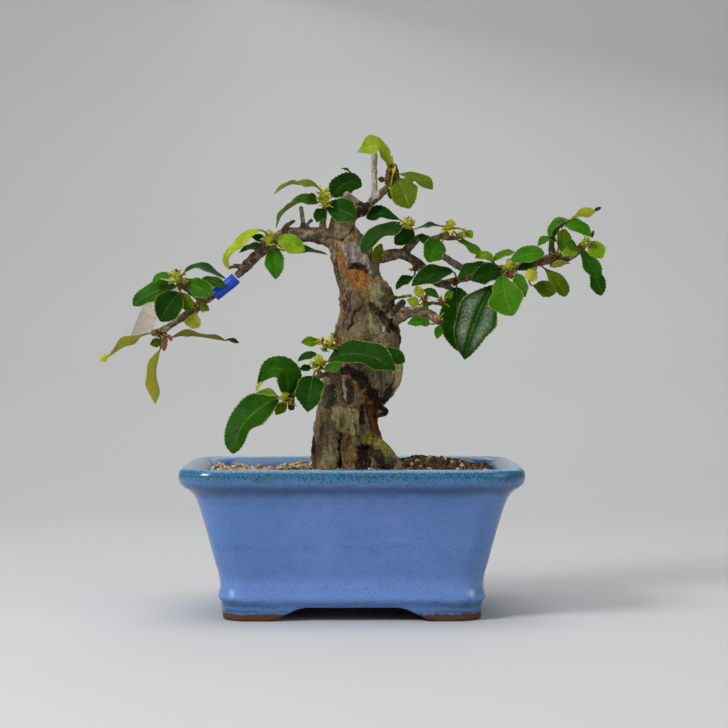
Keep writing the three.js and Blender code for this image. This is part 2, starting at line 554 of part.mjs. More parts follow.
// Sprays: a collar of wood-side growth carries the mature leaves, and a bud the young ones
const SPRAYS = [
  {
    name: 'left_tip',
    collar: [159, 334, -11.5],
    mature: [
      leaf([152.4, 332.5], [102.7, 360], 8, [-10, -8], { via: [120, 343], side: -1 }),
      leaf([161, 348], [153.4, 404], 12, [-12, -16]),
      leaf([161, 341], [150.5, 344], 9, [-12, -15]),
      leaf([171.5, 337], [239.5, 343], 7, [-10, -3], { via: [207, 337.5] }),
    ],
  },
  {
    name: 'left_spur',
    collar: [178, 279, -12],
    bud: { at: [177, 276], half: [7.5, 8] },
    mature: [
      leaf([175, 289], [132.3, 304], 18, [-12.5, -13]),
      leaf([180, 293], [161, 321], 26, [-14, -24]),
      leaf([184, 273], [226, 278], 8, [-11, -5], { via: [196, 265] }),
      leaf([187, 285], [208, 297], 17, [-14.5, -20]),
      leaf([200, 277], [226, 284], 9, [-12.5, -13.5]),
      leaf([181, 293], [191, 312], 14, [-12.5, -14]),
    ],
    young: [leaf([170.6, 279], [151.4, 283], 9, [-17, -15], { via: [162, 274] })],
  },
  {
    name: 'left_low',
    collar: [199, 308, -11.5],
    mature: [leaf([195, 314], [199, 329], 15, [-12.5, -17]), leaf([201, 307], [211, 313], 8, [-12.5, -14])],
  },
  {
    name: 'left_crown',
    collar: [270.5, 242, -7.6],
    bud: { at: [270.5, 239.5], half: [8, 10.5] },
    mature: [
      leaf([266, 240], [252, 237], 8, [-8.5, -11]),
      leaf([263, 247], [239, 252], 8, [-8.5, -9.5]),
      leaf([273, 249], [276, 278], 19, [-9.5, -17]),
      leaf([280.5, 249.6], [327.7, 252], 6, [-8.5, -5]),
    ],
    young: [
      leaf([263, 230], [226.6, 268.6], 12, [-15, -12], { via: [235, 244] }),
      leaf([277, 240], [303, 252], 17, [-13.5, -19]),
    ],
  },
  {
    name: 'crown_left',
    collar: [324.4, 199, -2.2],
    bud: { at: [324.4, 198.5], half: [7, 11.5] },
    mature: [
      leaf([318, 203], [273, 225.5], 13, [-3.5, -8], { via: [290, 204] }),
      leaf([333, 196], [355, 170], 24, [-3, 3]),
      leaf([326.7, 207], [355, 213], 21, [-4, -10]),
      leaf([324, 209], [317, 222], 13, [-4, -8]),
      leaf([317, 198], [306, 196.5], 6, [-3, -4]),
    ],
    young: [leaf([320, 189], [273.8, 193], 8, [-8, -12], { via: [296, 183] })],
  },
  {
    name: 'crown_top',
    collar: [391.5, 171, 1.2],
    mature: [
      leaf([387, 160], [357.3, 151], 17, [0.5, -3], { via: [375, 145] }),
      leaf([392, 163], [397, 157], 5, [0.5, -1]),
      leaf([399, 173], [433, 187], 10, [0, -4], { via: [416, 176] }),
      leaf([395, 178], [408, 207.5], 27, [-0.5, -8]),
      leaf([386, 177], [379, 174], 6, [0.5, -2]),
    ],
  },
  {
    name: 'mid_right',
    collar: [408.7, 226, 0.8],
    bud: { at: [408.7, 223.7], half: [7, 7] },
    mature: [
      leaf([402, 221], [366.5, 217], 12, [1, 4]),
      leaf([397, 221], [361.5, 252], 20, [-1, -13], { via: [380, 232] }),
      leaf([414, 232], [395.5, 244.5], 17, [0.8, -4]),
    ],
  },
  {
    name: 'right_upper',
    collar: [449.5, 228.5, 1.7],
    bud: { at: [449.7, 226], half: [6, 7] },
    mature: [
      leaf([441, 241], [429, 261], 22, [0.5, -6]),
      leaf([440, 226.5], [417, 228], 6, [2, 3]),
      leaf([458, 240], [495, 262], 9, [1, -1], { via: [477, 252] }),
    ],
  },
  {
    name: 'right_inner',
    collar: [456, 282, 4.9],
    mature: [
      leaf([453, 271], [411.6, 286], 20, [1.5, -4]),
      leaf([456.5, 289], [459.6, 351.6], 27, [3, 1]),
    ],
  },
  {
    name: 'right_centre',
    collar: [508, 269, 0.7],
    bud: { at: [510, 267], half: [7, 7] },
    mature: [
      leaf([488.7, 265.5], [458, 277], 12, [0, -3]),
      leaf([498, 272], [474, 283], 18, [-1.5, -9]),
      leaf([493.6, 285], [463.7, 358], 40, [-3, -13]),
      leaf([493.7, 260.5], [515, 251.4], 8, [1, 2]),
    ],
    young: [
      leaf([505, 278], [514.4, 315], 33, [-8, -18]),
      leaf([516, 274], [524, 295], 13, [-5, -9]),
      leaf([511, 261], [544, 253], 15, [-4, -9]),
    ],
  },
  {
    name: 'right_mid',
    collar: [533, 264.5, -1.6],
    mature: [
      leaf([536, 271], [533, 282], 12, [-4.5, -8]),
      leaf([529, 281], [554, 293], 15, [-1.5, -3]),
    ],
  },
  {
    name: 'right_outer',
    collar: [555, 256, -3.6],
    mature: [
      leaf([541, 265.5], [565.5, 295], 15, [-5, -9]),
      leaf([553, 264], [570.5, 260.5], 5, [-4.5, -6]),
      leaf([561, 248], [565.5, 228], 12, [-6, -9]),
      leaf([552, 241], [536.5, 244], 7, [-4.5, -6]),
    ],
  },
  {
    name: 'right_high',
    collar: [561, 224.5, -5.4],
    mature: [
      leaf([562, 219], [571, 212.5], 8, [-5.5, -7]),
      leaf([567, 221], [599, 209.5], 8, [-6.5, -9]),
      leaf([567, 225], [592, 235], 12, [-6.5, -10]),
    ],
  },
  {
    name: 'right_end',
    collar: [582, 249, -5.4],
    bud: { at: [587, 241], half: [5, 5.5] },
    mature: [
      leaf([591, 247], [602.5, 261], 17, [-7, -10]),
      leaf([580, 253], [599.5, 276], 17, [-8, -14], { via: [586, 265] }),
      leaf([584, 266], [601, 295], 14, [-5.5, -4]),
      leaf([577, 251], [565, 250.5], 14, [-9, -14]),
    ],
  },
  {
    name: 'trunk_fork',
    collar: [415, 268.5, 3],
    mature: [leaf([411, 275.5], [394.5, 286.5], 9, [2, -2])],
  },
  {
    name: 'low_shoot',
    finish: 'young_leaf',
    collar: [424.5, 299, -17],
    mature: [leaf([421.5, 298], [416, 285.5], 9, [-17.5, -19]), leaf([419, 305], [407, 297.5], 9, [-17.5, -20])],
  },
  {
    name: 'low_twig',
    collar: [441.5, 302.5, -15.2],
    mature: [leaf([438, 297], [428, 289], 8, [-15.5, -15]), leaf([444, 300], [453.5, 291.5], 8, [-15.5, -16])],
  },
  {
    name: 'low_end',
    collar: [439, 321, -19.3],
    mature: [leaf([431, 320.5], [406.5, 320.5], 10, [-20, -21]), leaf([440, 325], [437, 338.7], 9, [-20, -22])],
  },
  {
    name: 'front_left',
    collar: [289, 398, -23.2],
    bud: { at: [284, 398], half: [5.5, 5.5] },
    mature: [
      leaf([278, 400], [226, 446], 33, [-25, -34]),
      leaf([287, 389], [257, 384], 28, [-24, -31], { via: [281, 366] }),
      leaf([287, 405], [277, 417], 9, [-24, -23]),
    ],
    young: [leaf([278, 396], [255, 390], 7, [-29, -35])],
  },
  {
    name: 'front_trunk',
    collar: [318, 367, -18.4],
    bud: { at: [318, 363.5], half: [6.5, 6.5] },
    mature: [
      leaf([313, 377], [307.5, 411], 27, [-22, -30]),
      leaf([317, 353], [298, 358], 8, [-18.5, -19]),
      leaf([311, 368], [300, 369], 7, [-18.5, -20]),
      leaf([328, 361], [396, 367.5], 26, [-20.5, -24]),
    ],
    young: [leaf([325, 369], [341, 366.5], 10, [-25, -28])],
  },
  {
    name: 'trunk_bud',
    finish: 'young_leaf',
    collar: [329, 345.5, -14.6],
    mature: [leaf([319, 342], [301, 341.6], 10, [-15, -17])],
  },
  {
    name: 'trunk_shoot',
    finish: 'young_leaf',
    collar: [375, 257, -5],
    mature: [leaf([377, 254], [381.4, 243.6], 8, [-5.5, -7])],
  },
  {
    name: 'back_right',
    collar: [470, 311.5, 36.9],
    mature: [
      leaf([466, 318], [456, 344], 17, [39, 44]),
      leaf([473, 317], [478, 343], 17, [38, 48]),
      leaf([475, 310], [487, 300], 13, [39, 48]),
      leaf([464, 310], [451, 306], 12, [36, 30]),
    ],
  },
  {
    name: 'back_trunk',
    collar: [371, 318.5, 38.4],
    mature: [
      leaf([366, 323], [351, 347], 20, [39, 46]),
      leaf([376, 323], [388, 347], 20, [39, 45]),
      leaf([372, 312], [377, 290], 18, [40, 47]),
      leaf([364, 316], [348, 305], 15, [38, 40]),
      leaf([384, 350], [404, 361.5], 13, [33, 28]),
    ],
  },
  {
    name: 'back_left',
    collar: [271.5, 245.5, 14.4],
    mature: [
      leaf([273, 251], [277, 272], 15, [16, 22]),
      leaf([268, 244], [256, 247], 10, [16, 24]),
      leaf([277, 244], [294, 247], 11, [15, 20]),
    ],
  },
  {
    name: 'back_top',
    collar: [398.5, 187, 17.2],
    mature: [
      leaf([400, 191], [405, 206], 16, [18, 25]),
      leaf([396, 190], [389, 199], 10, [18, 26]),
      leaf([402, 184], [415, 179], 8, [18, 22]),
    ],
  },
  {
    name: 'back_far_left',
    collar: [177, 297, 8.4],
    mature: [
      leaf([173, 301], [163, 316], 15, [9, 17]),
      leaf([172, 295], [148, 298], 10, [9, 20]),
      leaf([180, 292], [186, 277], 10, [9, 15]),
    ],
  },
];

function ball(middle, radius) {
  const geometry = new THREE.IcosahedronGeometry(radius, 0);
  geometry.translate(middle.x, middle.y, middle.z);
  return solidOf(geometry);
}

function fusedLeaves(root, leaves) {
  return leaves.map((spec) => blade(root, spec));
}

function buildSpray({ name, collar, bud, mature, young = [], finish = 'leaf' }, woodHole) {
  const [px, py, depth] = collar;
  const root = seen([px, py], depth);
  const meshes = [];
  let budHole;
  if (bud) {
    const halves = bud.half.map((pixels) => pixels * pixelSize(depth));
    const front = depth - COLLAR_RADIUS - GAP - halves[0] * BRACT_REACH;
    const middle = seen(bud.at, front);
    const shoot = joined([rosette(middle, ...halves), ...fusedLeaves(middle, young)]);
    budHole = rosette(middle, halves[0] + GAP * 1.3, halves[1] + GAP * 1.3);
    meshes.push(meshOf(`bud_${name}`, shoot.subtract(woodHole), 'young_leaf'));
  }
  let leaves = joined([ball(root, COLLAR_RADIUS), ...fusedLeaves(root, mature)]).subtract(woodHole);
  if (budHole) {
    leaves = leaves.subtract(budHole);
  }
  meshes.push(meshOf(`leaves_${name}`, leaves, finish));
  return meshes;
}

// LABEL

const BAND_ROUTE = [[236.6, 275.5, -7.1], [226, 284.5, -8], [214.5, 293.3, -8.45]];
const BAND_INNER = 1.95;
const BAND_WALL = 0.5;
const BAND_SIDES = 10;
const TAIL_ROUTE = [[215, 291, -5.3], [202, 284.5, -4], [184, 288.5, -2.4], [163, 299, -1.4], [148, 308, -1],
  [141, 323, -0.5], [135, 338, 0.5]];
const TAIL_WIDE = 5;
const TAIL_THICK = 0.7;

// A sleeve of tape round the left branch
function buildBand() {
  const curve = new THREE.CatmullRomCurve3(BAND_ROUTE.map(([px, py, depth]) => seen([px, py], depth)));
  const tube = (radius, from, to) => {
    const rings = [];
    let across = new THREE.Vector3(0, 1, 0);
    for (let i = 0; i <= 2; i += 1) {
      const along = from + (to - from) * i / 2;
      const inside = Math.min(1, Math.max(0, along));
      const tangent = curve.getTangent(inside);
      const middle = curve.getPoint(inside).addScaledVector(tangent, (along - inside) * 10);
      across = across.clone().addScaledVector(tangent, -across.dot(tangent)).normalize();
      const second = new THREE.Vector3().crossVectors(tangent, across);
      rings.push(Array.from({ length: BAND_SIDES }, (_, k) => middle.clone()
        .addScaledVector(across, radius * Math.cos(k * 2 * Math.PI / BAND_SIDES))
        .addScaledVector(second, radius * Math.sin(k * 2 * Math.PI / BAND_SIDES))));
    }
    return loftFlat(rings);
  };
  return tube(BAND_INNER + BAND_WALL, 0, 1).subtract(tube(BAND_INNER, -0.1, 1.1));
}

// The loose end of the label: a flat strip that hangs behind the leaves
function buildTail() {
  const curve = new THREE.CatmullRomCurve3(TAIL_ROUTE.map(([px, py, depth]) => seen([px, py], depth)));
  const steps = 10;
  const rings = [];
  for (let i = 0; i <= steps; i += 1) {
    const middle = curve.getPoint(i / steps);
    const tangent = curve.getTangent(i / steps);
    const across = new THREE.Vector3().crossVectors(tangent, new THREE.Vector3(0.15, 1, 0)).normalize();
    const normal = new THREE.Vector3().crossVectors(across, tangent);
    rings.push([[1, 1], [-1, 1], [-1, -1], [1, -1]].map(([side, face]) => middle.clone()
      .addScaledVector(across, side * TAIL_WIDE / 2).addScaledVector(normal, face * TAIL_THICK / 2)));
  }
  return loftFlat(rings);
}

// THE WHOLE

const wood = buildWood(0);
const woodHole = buildWood(WOOD_GAP);

const bonsai = new THREE.Group();
bonsai.add(meshOf('pot', buildPot(), 'glaze'));
bonsai.add(meshOf('drain_screen_left', buildScreen(-1), 'screen'));
bonsai.add(meshOf('drain_screen_right', buildScreen(1), 'screen'));
bonsai.add(meshOf('soil', buildSoil(woodHole), 'soil'));
bonsai.add(meshOf('wood', wood, 'bark'));
bonsai.add(meshOf('label_band', buildBand(), 'label'));
bonsai.add(meshOf('label_tail', buildTail().subtract(woodHole), 'label_paper'));
for (const spray of SPRAYS) {
  bonsai.add(...buildSpray(spray, woodHole));
}

export default bonsai;
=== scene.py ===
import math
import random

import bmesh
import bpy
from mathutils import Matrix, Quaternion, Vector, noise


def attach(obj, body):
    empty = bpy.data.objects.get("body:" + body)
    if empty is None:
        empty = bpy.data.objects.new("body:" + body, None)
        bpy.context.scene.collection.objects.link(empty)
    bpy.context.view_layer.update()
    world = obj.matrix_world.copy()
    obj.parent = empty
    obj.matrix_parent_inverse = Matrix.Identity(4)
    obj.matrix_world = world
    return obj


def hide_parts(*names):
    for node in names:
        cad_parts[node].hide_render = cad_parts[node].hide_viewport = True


bl_info = {
    "name": "Chinese quince bonsai",
    "version": (1, 0, 0),
    "blender": (4, 5, 0),
    "location": "View3D > Sidebar > Bonsai",
    "description": "Dresses a chinese quince bonsai and its blue glazed pot round a fixed frame",
    "category": "Object",
}

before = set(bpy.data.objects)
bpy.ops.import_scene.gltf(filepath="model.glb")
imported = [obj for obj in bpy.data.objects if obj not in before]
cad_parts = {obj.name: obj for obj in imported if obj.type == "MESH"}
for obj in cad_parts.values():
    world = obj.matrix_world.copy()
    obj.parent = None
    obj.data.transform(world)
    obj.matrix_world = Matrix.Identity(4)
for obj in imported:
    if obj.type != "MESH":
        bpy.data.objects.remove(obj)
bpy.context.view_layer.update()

MM = 0.001
UP = Vector((0.0, 0.0, 1.0))

# Sight lines: where a point seen from the front at a pixel lies, once its depth is known.
# Lengths in the tables and in the mesh code are millimetres.
EYE_DISTANCE = 800.0
EYE_HEIGHT = 106.5
FOCAL_PIXELS = 1920.0
AXIS_PIXEL = (352.0, 354.0)
PICTURE_PIXELS = 728.0
SENSOR_MM = 36.0


def pixel_size(depth):
    """Millimetres across one pixel at a depth."""
    return (EYE_DISTANCE + depth) / FOCAL_PIXELS


def seen(px, py, depth):
    scale = pixel_size(depth)
    return Vector(((px - AXIS_PIXEL[0]) * scale, depth, EYE_HEIGHT - (py - AXIS_PIXEL[1]) * scale))


def pixel_of(place):
    scale = pixel_size(place.y)
    return AXIS_PIXEL[0] + place.x / scale, AXIS_PIXEL[1] + (EYE_HEIGHT - place.z) / scale


def blend(low, high, share):
    return low + (high - low) * share


def ease(value, low, high):
    share = min(1.0, max(0.0, (value - low) / (high - low)))
    return share * share * (3.0 - 2.0 * share)


def smooth_route(rows, steps):
    """Rows of numbers, with steps rows to each interval, on a Catmull-Rom curve."""
    result = []
    for i in range(len(rows) - 1):
        around = [rows[max(0, i - 1)], rows[i], rows[i + 1], rows[min(len(rows) - 1, i + 2)]]
        for k in range(steps):
            t = k / steps
            weights = (
                -0.5 * t + t * t - 0.5 * t ** 3,
                1.0 - 2.5 * t * t + 1.5 * t ** 3,
                0.5 * t + 2.0 * t * t - 1.5 * t ** 3,
                -0.5 * t * t + 0.5 * t ** 3,
            )
            columns = range(len(rows[0]))
            result.append([sum(w * row[n] for w, row in zip(weights, around)) for n in columns])
    result.append(list(rows[-1]))
    return result


def seen_route(route, steps=8):
    """A smooth line through points given as a column, a row and a depth."""
    return smooth_route([tuple(seen(*point)) for point in route], steps)


def way_at(rows, i):
    """The direction of a line of points at one of its points."""
    before = Vector(rows[max(0, i - 1)][:3])
    after = Vector(rows[min(len(rows) - 1, i + 1)][:3])
    return (after - before).normalized()


def square_to(way, across):
    """Two directions square to a way and to each other, the first as near to across as can be."""
    across = (across - way * across.dot(way)).normalized()
    return across, way.cross(across)


def turns(count):
    """Angles spaced evenly round a circle."""
    return [k / count * math.tau for k in range(count)]


def on_circle(across, second, angle):
    return across * math.cos(angle) + second * math.sin(angle)


# Settings that a user would change


def color_setting(name, description, default):
    return bpy.props.FloatVectorProperty(
        name=name, description=description, subtype="COLOR", size=3, default=default)


class PotSettings(bpy.types.PropertyGroup):
    body: color_setting("Glaze", "Blue of the pot's walls", (0.115, 0.225, 0.56))
    shade: color_setting("Pooled glaze", "Darker blue where the glaze runs thick or thin at edges",
                         (0.046, 0.180, 0.33))
    clay: color_setting("Bare clay", "Fired clay under the feet", (0.080, 0.026, 0.011))
    waviness: bpy.props.FloatProperty(
        name="Hand-made waviness", description="How far the walls stray from true, in millimetres",
        default=0.25, min=0.0, max=1.0)


class BarkSettings(bpy.types.PropertyGroup):
    grain: bpy.props.FloatProperty(
        name="Mesh grain", description="Size of the mesh cells of the wood, in millimetres",
        default=0.5, min=0.4, max=2.0)
    flake: bpy.props.FloatProperty(
        name="Flake height", description="Thickness of a bark flake, in millimetres", default=0.42,
        min=0.0, max=1.0)
    weathered: color_setting("Weathered bark", "Grey-brown of the old bark", (0.245, 0.184, 0.094))
    fresh: color_setting("Fresh bark", "Orange-brown where a flake has come off", (0.24, 0.095, 0.028))


class FoliageSettings(bpy.types.PropertyGroup):
    thickness: bpy.props.FloatProperty(
        name="Blade thickness", description="Thickness of a leaf blade, in millimetres", default=0.3,
        min=0.1, max=1.0)
    tooth: bpy.props.FloatProperty(
        name="Tooth spacing", description="Distance between the teeth of a leaf margin, in millimetres",
        default=1.25, min=0.6, max=4.0)
    seed: bpy.props.IntProperty(
        name="Seed", description="Seed of the small differences between leaves", default=7)


class SoilSettings(bpy.types.PropertyGroup):
    grain: bpy.props.FloatProperty(
        name="Grain size", description="Middle width of a soil grain", default=0.0024, min=0.0005, max=0.006,
        unit="LENGTH")
    spacing: bpy.props.FloatProperty(
        name="Grain spacing", description="Least distance between grains", default=0.00135,
        min=0.0005, max=0.006, unit="LENGTH")
    seed: bpy.props.IntProperty(name="Seed", description="Seed of the scatter", default=3)


class StageSettings(bpy.types.PropertyGroup):
    floor: color_setting("Floor", "Colour of the floor and backdrop", (0.59, 0.594, 0.60))
    light: bpy.props.FloatProperty(
        name="Light", description="Strength of the soft lights", default=0.6, min=0.0)


# Mesh building


class Skin:
    """Points, faces and surface marks of one mesh, in millimetres."""

    def __init__(self):
        self.points = []
        self.faces = []
        self.slots = []
        self.marks = {}
        self.spread = []

    def point(self, place, spread=(0.5, 0.5), **marks):
        for name in marks:
            self.marks.setdefault(name, [0.0] * len(self.points))
        self.points.append(place.copy())
        self.spread.append(spread)
        for name, values in self.marks.items():
            values.append(marks.get(name, 0.0))
        return len(self.points) - 1

    def face(self, *corners, slot=0):
        self.faces.append(corners)
        self.slots.append(slot)

    def strip(self, first, second, closed=True, slot=0):
        """Quads between two rows of points."""
        count = len(first)
        for k in range(count if closed else count - 1):
            after = (k + 1) % count
            self.face(first[k], first[after], second[after], second[k], slot=slot)

    def cap(self, row, middle, outward, slot=0):
        """A fan from a row of points to one point; outward is true where the row runs anticlockwise."""
        for k in range(len(row)):
            after = (k + 1) % len(row)
            if outward:
                self.face(row[k], row[after], middle, slot=slot)
            else:
                self.face(row[after], row[k], middle, slot=slot)

    def loft(self, rows, closed=True, slot=0):
        for first, after in zip(rows, rows[1:]):
            self.strip(first, after, closed, slot)

    def shell(self, rows, start, end, slot=0, **marks):
        """A closed skin over rows of points, with a fan to a point at each end."""
        self.loft(rows, slot=slot)
        self.cap(rows[0], self.point(start, **marks), False, slot)
        self.cap(rows[-1], self.point(end, **marks), True, slot)

    def bar(self, rows):
        """A closed skin over rows of points, with flat ends."""
        start, end = (sum((self.points[k] for k in row), Vector()) / len(row) for row in (rows[0], rows[-1]))
        self.shell(rows, start, end)

    def make(self, name, materials, sharp=None):
        mesh = bpy.data.meshes.new(name)
        mesh.from_pydata([place * MM for place in self.points], [], self.faces)
        for material in materials:
            mesh.materials.append(material)
        mesh.polygons.foreach_set("material_index", self.slots)
        mesh.polygons.foreach_set("use_smooth", [True] * len(self.faces))
        spread = mesh.uv_layers.new(name="spread")
        corners = [value for loop in mesh.loops for value in self.spread[loop.vertex_index]]
        spread.data.foreach_set("uv", corners)
        write_marks(mesh, self.marks)
        mesh.update()
        if sharp:
            mesh.set_sharp_from_angle(angle=math.radians(sharp))
        piece = bpy.data.objects.new(name, mesh)
        bpy.context.collection.objects.link(piece)
        return piece


def finished(piece, slot, *nodes):
    """Ties a piece to the frame's root body and hides the nodes that it stands for; the slot, the name of its
    finish, is not used.
    """
    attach(piece, "root")
    if nodes:
        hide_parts(*nodes)


def write_marks(mesh, marks):
    for name, values in marks.items():
        mesh.attributes.new(name, "FLOAT", "POINT").data.foreach_set("value", values)


def apply_modifiers(piece):
    """Turns what a piece's modifiers make into its own plain mesh."""
    graph = bpy.context.evaluated_depsgraph_get()
    mesh = bpy.data.meshes.new_from_object(piece.evaluated_get(graph))
    piece.modifiers.clear()
    piece.data = mesh


# Finishes


class Level:
    """A number that changes over a surface. Sums and products of levels add Math nodes."""

    def __init__(self, finish, socket):
        self.finish = finish
        self.socket = socket

    def joined(self, operation, first, second):
        return self.finish.level("ShaderNodeMath", {"operation": operation}, {0: first, 1: second})

    def __add__(self, other):
        return self.joined("ADD", self, other)

    __radd__ = __add__

    def __mul__(self, other):
        return self.joined("MULTIPLY", self, other)

    __rmul__ = __mul__

    def __sub__(self, other):
        return self.joined("SUBTRACT", self, other)

    def __rsub__(self, other):
        return self.joined("SUBTRACT", other, self)

    def __truediv__(self, other):
        return self.joined("DIVIDE", self, other)

    def __pow__(self, other):
        return self.joined("POWER", self, other)

    def __abs__(self):
        return self.joined("ABSOLUTE", self, 0.0)

    def apart(self, pitch):
        """0 midway between two whole numbers of pitches and 0.5 at each of them."""
        share = self / pitch
        return abs(self.joined("FRACT", share, 0.0) - 0.5)

    def least(self, other):
        return self.joined("MINIMUM", self, other)

    def most(self, other):
        return self.joined("MAXIMUM", self, other)

    def step(self, low, high):
        """0 below low and 1 above high, with a soft step between."""
        settings = {"interpolation_type": "SMOOTHSTEP"}
        return self.finish.level("ShaderNodeMapRange", settings, {0: self, 1: low, 2: high})

    def band(self, low, rise, fall, high):
        """0 below low and above high and 1 from rise to fall, with soft steps between."""
        return self.step(low, rise) * (1.0 - self.step(fall, high))


class Nodes:
    """A node tree, with the one method that makes its nodes."""

    def __init__(self, tree):
        self.tree = tree

    def node(self, kind, settings=None, inputs=None, stops=()):
        """A node: first its settings or a ramp's stops, and then the values or links of its sockets."""
        node = self.tree.nodes.new(kind)
        for key, value in (settings or {}).items():
            setattr(node, key, value)
        if stops:
            ramp = node.color_ramp
            while len(ramp.elements) < len(stops):
                ramp.elements.new(0.5)
            for element, (position, color) in zip(ramp.elements, stops):
                element.position = position
                element.color = (*color, 1.0)
        for key, value in (inputs or {}).items():
            self.feed(node.inputs[key], value)
        return node

    def feed(self, socket, value):
        source = value.socket if isinstance(value, Level) else value
        if isinstance(source, bpy.types.NodeSocket):
            self.tree.links.new(source, socket)
        elif socket.type == "RGBA" and len(source) == 3:
            socket.default_value = (*source, 1.0)
        else:
            socket.default_value = source


class Finish(Nodes):
    """A material, its surface and the levels and colours that feed it."""

    def __init__(self, name, **shader):
        self.material = bpy.data.materials.new(name)
        self.material.use_nodes = True
        super().__init__(self.material.node_tree)
        self.tree.nodes.clear()
        self.surface = self.node("ShaderNodeBsdfPrincipled", inputs=shader)
        self.output = self.node("ShaderNodeOutputMaterial", inputs={"Surface": self.surface.outputs[0]})
        self.place = self.node("ShaderNodeTexCoord").outputs["Object"]

    def level(self, kind, settings=None, inputs=None, output=0):
        return Level(self, self.node(kind, settings, inputs).outputs[output])

    def mark(self, name):
        return self.level("ShaderNodeAttribute", {"attribute_name": name}, output="Fac")

    def paint(self, name):
        """A painted colour of the mesh, and how much of it there is."""
        painted = self.node("ShaderNodeAttribute", {"attribute_name": name})
        return painted.outputs["Color"], Level(self, painted.outputs["Alpha"])

    def spread(self):
        """The piece's own UV map, as two levels."""
        flat = self.node("ShaderNodeUVMap", {"uv_map": "spread"}).outputs[0]
        split = self.node("ShaderNodeSeparateXYZ", inputs={0: flat})
        return Level(self, split.outputs[0]), Level(self, split.outputs[1])

    def axes(self):
        split = self.node("ShaderNodeSeparateXYZ", inputs={0: self.place})
        return [Level(self, output) for output in split.outputs]

    def stretched(self, height):
        """Places with their heights scaled, for marks drawn out along the trunk."""
        inputs = {"Vector": self.place, "Scale": (1.0, 1.0, height)}
        return self.node("ShaderNodeMapping", {"vector_type": "POINT"}, inputs).outputs[0]

    def noise(self, size, detail=3.0, roughness=0.55, place=None):
        """Noise whose lumps are about size millimetres wide."""
        inputs = {"Vector": place or self.place, "Scale": 1.0 / (size * MM), "Detail": detail,
                  "Roughness": roughness}
        return self.level("ShaderNodeTexNoise", None, inputs)

    def ramp(self, level, stops):
        return self.node("ShaderNodeValToRGB", None, {0: level}, stops).outputs[0]

    def mix(self, mask, first, second):
        inputs = {0: mask, 6: first, 7: second}
        return self.node("ShaderNodeMix", {"data_type": "RGBA"}, inputs).outputs[2]

    def scaled(self, color, level):
        """The colour made lighter or darker by a level."""
        inputs = {0: color, "Scale": level}
        return self.node("ShaderNodeVectorMath", {"operation": "SCALE"}, inputs).outputs[0]

    def color(self, socket):
        self.feed(self.surface.inputs["Base Color"], socket)

    def rough(self, level):
        self.feed(self.surface.inputs["Roughness"], level)

    def bump(self, height, distance, strength):
        inputs = {"Height": height, "Distance": distance * MM, "Strength": strength}
        self.feed(self.surface.inputs["Normal"], self.node("ShaderNodeBump", None, inputs).outputs[0])

    def translucent(self, color, share):
        """Lets light through from behind, as a thin blade does."""
        through = self.node("ShaderNodeBsdfTranslucent", None, {"Color": color})
        inputs = {0: share, 1: self.surface.outputs[0], 2: through.outputs[0]}
        mixed = self.node("ShaderNodeMixShader", None, inputs)
        self.feed(self.output.inputs["Surface"], mixed.outputs[0])


# Colours of the glaze by the places where they lie; the glint, the light band and the crest's highlight are
# painted light, and the dark under the lip and on the inner wall is painted shade
GLAZE = {
    "light": (0.16, 0.27, 0.62), "dusky": (0.075, 0.19, 0.48), "glow": (0.18, 0.33, 0.70),
    "corner": (0.060, 0.19, 0.42), "streak": (0.045, 0.12, 0.34), "crest": (0.24, 0.40, 0.60),
    "painted shade under lip": (0.024, 0.052, 0.11), "foot ring": (0.030, 0.125, 0.24), "speck": (0.010, 0.045, 0.085),
    "haze": (0.035, 0.10, 0.30), "painted glint": (0.40, 0.55, 0.78), "painted shade inside": (0.035, 0.115, 0.36),
    "clay": (0.125, 0.048, 0.022),
}
# Heights in metres between which a band comes in and goes out: painted light above the foot, painted shade
# under the lip, and pooled glaze in the foot ring and at the toe
PAINTED_LIGHT_BAND = (0.006, 0.010, 0.012, 0.020)
UNDER_LIP_BAND = (0.0492, 0.0530, 0.0535, 0.0562)
FOOT_BAND = (0.0046, 0.0062, 0.0066, 0.0090)
TOE_BAND = (0.0026, 0.0034, 0.0036, 0.0052)
STREAK_HEIGHT = 0.0295
# Place of the painted glint on the foot corners: half length and height in metres
PAINTED_GLINT_SPOT = (0.0478, 0.0112)


